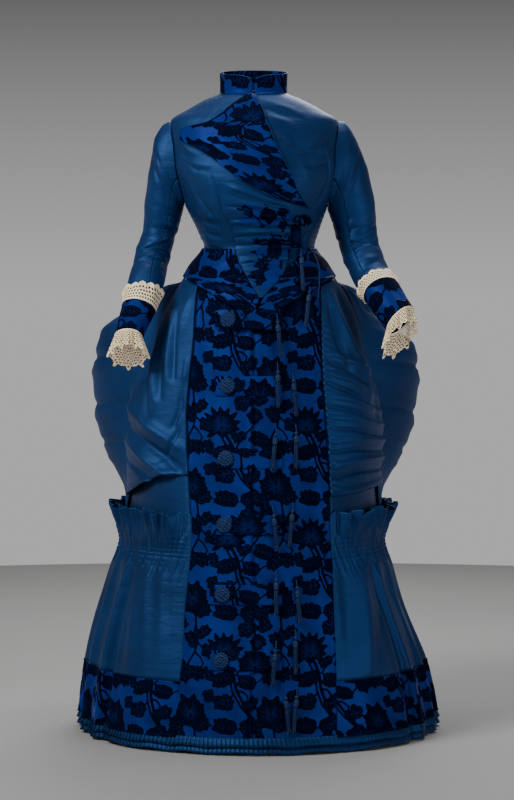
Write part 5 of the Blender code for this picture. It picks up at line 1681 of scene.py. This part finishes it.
def make_studio():
    """Pale round floor, even pale air, soft lights, and the camera at the photo's angle."""
    settings = bpy.context.scene.dress_studio
    FINISHES["floor"] = new_finish("paper_backdrop_matt", paper, (*settings.floor, 1.0))
    turn = np.linspace(0, 2 * math.pi, 97)[None, :]
    reach = np.array([0.01, 1.0, 2.0, FLOOR_REACH])[:, None]
    grid = np.stack((reach * np.sin(turn), reach * np.cos(turn), np.full((4, 97), FLOOR)), axis=-1)
    grid_mesh("studio_floor", grid, "floor", closed=True)
    for name, place, target, size_m, colour in LIGHTS:
        data = bpy.data.lights.new(f"light_{name}", "AREA")
        data.shape = "SQUARE"
        data.size = size_m
        data.energy = getattr(settings, f"{name}_power")
        data.color = linear(colour)[:3]
        place_item(data.name, data, place, target)
    world = bpy.data.worlds.new("studio_air")
    bpy.context.scene.world = world
    world.use_nodes = True
    tree = world.node_tree
    tree.nodes.clear()
    ahead = add(tree, "TexCoord").outputs["Generated"]
    height = add(tree, "SeparateXYZ", None, Vector=ahead).outputs["Z"]
    tone = shaded(tree, AIR, settings.air, settings.air * AIR_ABOVE, height, AIR_LOW, AIR_HIGH)
    air = add(tree, "Background", None, Color=tone, Strength=1.0)
    add(tree, "OutputWorld", Surface=air.outputs["Background"])
    data = bpy.data.cameras.new("camera")
    data.sensor_fit = "VERTICAL"
    data.sensor_height = CAMERA_SENSOR
    data.lens = CAMERA_LENS
    bpy.context.scene.camera = place_item("camera", data, CAMERA_PLACE, CAMERA_TARGET)


def colour_setting(name, description, colour):
    """Colour property with its default from an sRGB hex value."""
    return bpy.props.FloatVectorProperty(name=name, description=description, subtype="COLOR", size=3,
                                         min=0.0, max=1.0, default=linear(colour)[:3])


def length_setting(name, description, metres):
    """Length property with its default in metres."""
    return bpy.props.FloatProperty(name=name, description=description, default=metres, min=0.0,
                                   subtype="DISTANCE", unit="LENGTH", precision=5)


def power_setting(name, description, watts):
    """Power property of a light."""
    return bpy.props.FloatProperty(name=name, description=description, default=watts, min=0.0, unit="POWER")


class DressSizes(bpy.types.PropertyGroup):
    """Sizes of the cloths and trimmings."""
    pile: length_setting("Pile height", "Height of the velvet's pile above its ground", 0.0005)
    turned: length_setting("Turned edge", "Depth of the turned edge of the satin pieces", 0.0012)
    piping: length_setting("Piping radius", "Radius of the satin piping", 0.0012)
    strand: length_setting("Strand length", "Length of the tassels' skirts of strands", 0.056)
    strands: bpy.props.IntProperty(name="Strands", description="Number of strands in each tassel", default=16,
                                   min=3, max=250)
    pleats: bpy.props.IntProperty(name="Knife pleats", description="Number of knife pleats in each row",
                                  default=250, min=12)


class DressFinishes(bpy.types.PropertyGroup):
    """Colours of the dress's cloths and trimmings."""
    satin: colour_setting("Satin", "Blue of the silk satin", "#0E2A52")
    ground: colour_setting("Velvet ground", "Bright satin ground between the motifs", "#06246A")
    pile: colour_setting("Velvet pile", "Near black pile of the motifs", "#030414")
    lace: colour_setting("Lace", "Aged cream of the cotton lace", "#FFE9BE")
    button: colour_setting("Buttons", "Grey blue gimp of the buttons", "#152A52")
    tassel: colour_setting("Tassels", "Grey blue silk of the tassels", "#1A2C50")


class DressStudio(bpy.types.PropertyGroup):
    """Floor colour and light strengths."""
    floor: colour_setting("Floor", "Pale grey of the floor", "#979695")
    key_power: power_setting("Key light", "Power of the main light", 172.0)
    fill_power: power_setting("Fill light", "Power of the side light", 54.0)
    top_power: power_setting("Top light", "Power of the light above", 60.0)
    back_power: power_setting("Back light", "Power of the light behind", 55.0)
    air: bpy.props.FloatProperty(name="Ambient", description="Strength of the light from all round",
                                 default=1.04, min=0.0)


def make_finishes():
    """Every finish of the dress from the Panel's colours."""
    colours = bpy.context.scene.dress_finishes
    satin, ground, pile, lace, button, tassel = [
        (*getattr(colours, name), 1.0) for name in ("satin", "ground", "pile", "lace", "button", "tassel")]
    for key, name, surface, *inputs in (
            ("satin", "silk_satin_woven", silk_satin, satin),
            ("velvet", "silk_velvet_cut", cut_velvet, ground, pile),
            ("drape", "silk_satin_with_velvet", satin_and_velvet, satin, ground, pile),
            ("lace", "cotton_lace_bobbin", cotton_lace, lace),
            ("button", "silk_gimp_netted", twisted_cord, button, 2.2),
            ("tassel", "silk_cord_twisted", twisted_cord, tassel, 1.6)):
        FINISHES[key] = new_finish(name, surface, *inputs)


class DRESS_OT_finishes(bpy.types.Operator):
    """Makes the cloth and trimming materials."""
    bl_idname = "dress.finishes"
    bl_label = "Finishes"

    def execute(self, context):
        make_finishes()
        return {"FINISHED"}


class DRESS_OT_studio(bpy.types.Operator):
    """Makes the floor, the soft lights and the camera."""
    bl_idname = "dress.studio"
    bl_label = "Studio"

    def execute(self, context):
        make_studio()
        return {"FINISHED"}


class DRESS_OT_bodice(bpy.types.Operator):
    """Makes the satin fronts and back and the velvet collar."""
    bl_idname = "dress.bodice"
    bl_label = "Bodice"

    def execute(self, context):
        make_satin_fronts()
        make_velvet_collar()
        return {"FINISHED"}


class DRESS_OT_trims(bpy.types.Operator):
    """Makes the plastron, waist drape, knot, strap and hip panels."""
    bl_idname = "dress.trims"
    bl_label = "Velvet trims"

    def execute(self, context):
        make_velvet_trims()
        return {"FINISHED"}


class DRESS_OT_sleeves(bpy.types.Operator):
    """Makes the sleeves, cuffs and lace."""
    bl_idname = "dress.sleeves"
    bl_label = "Sleeves"

    def execute(self, context):
        make_sleeves()
        return {"FINISHED"}


class DRESS_OT_skirt(bpy.types.Operator):
    """Makes the velvet front panel and the skirt's satin sides and back."""
    bl_idname = "dress.skirt"
    bl_label = "Skirt"

    def execute(self, context):
        make_front_panel()
        make_skirt_sides()
        return {"FINISHED"}


class DRESS_OT_drapery(bpy.types.Operator):
    """Makes the side swags and the bustle puffs."""
    bl_idname = "dress.drapery"
    bl_label = "Swags and puffs"

    def execute(self, context):
        make_side_swags()
        make_bustle_puffs()
        return {"FINISHED"}


class DRESS_OT_hem(bpy.types.Operator):
    """Makes the flounce, the velvet border and the knife pleats."""
    bl_idname = "dress.hem"
    bl_label = "Flounce and hem"

    def execute(self, context):
        make_flounce()
        make_knife_pleats()
        return {"FINISHED"}


class DRESS_OT_closing(bpy.types.Operator):
    """Makes the tabs and their buttons."""
    bl_idname = "dress.closing"
    bl_label = "Buttons and tabs"

    def execute(self, context):
        make_closing_tabs()
        return {"FINISHED"}


class DRESS_OT_tassels(bpy.types.Operator):
    """Makes the tassels and the cord at the waist."""
    bl_idname = "dress.tassels"
    bl_label = "Tassels"

    def execute(self, context):
        make_tassels()
        return {"FINISHED"}


SETTINGS = {"dress_sizes": DressSizes, "dress_finishes": DressFinishes, "dress_studio": DressStudio}
OPERATORS = (DRESS_OT_finishes, DRESS_OT_studio, DRESS_OT_bodice, DRESS_OT_trims, DRESS_OT_sleeves,
             DRESS_OT_skirt, DRESS_OT_drapery, DRESS_OT_hem, DRESS_OT_closing, DRESS_OT_tassels)


class DRESS_PT_pieces(bpy.types.Panel):
    """Sidebar panel with the dress's settings and pieces."""
    bl_label = "Afternoon dress"
    bl_idname = "DRESS_PT_pieces"
    bl_space_type = "VIEW_3D"
    bl_region_type = "UI"
    bl_category = "Dress"

    def draw(self, context):
        for name, group in SETTINGS.items():
            for setting in group.__annotations__:
                self.layout.prop(getattr(context.scene, name), setting)
        for item in OPERATORS:
            self.layout.operator(item.bl_idname)


CLASSES = (*SETTINGS.values(), *OPERATORS, DRESS_PT_pieces)


def register():
    """Adds the dress's classes and settings."""
    for item in CLASSES:
        bpy.utils.register_class(item)
    for name, group in SETTINGS.items():
        setattr(bpy.types.Scene, name, bpy.props.PointerProperty(type=group))


def unregister():
    """Takes the dress's classes and settings away."""
    for name in SETTINGS:
        delattr(bpy.types.Scene, name)
    for item in reversed(CLASSES):
        bpy.utils.unregister_class(item)


def main():
    """Makes every piece in order."""
    register()
    for item in OPERATORS:
        getattr(bpy.ops.dress, item.bl_idname.split(".")[1])()


if __name__ == "__main__":
    main()
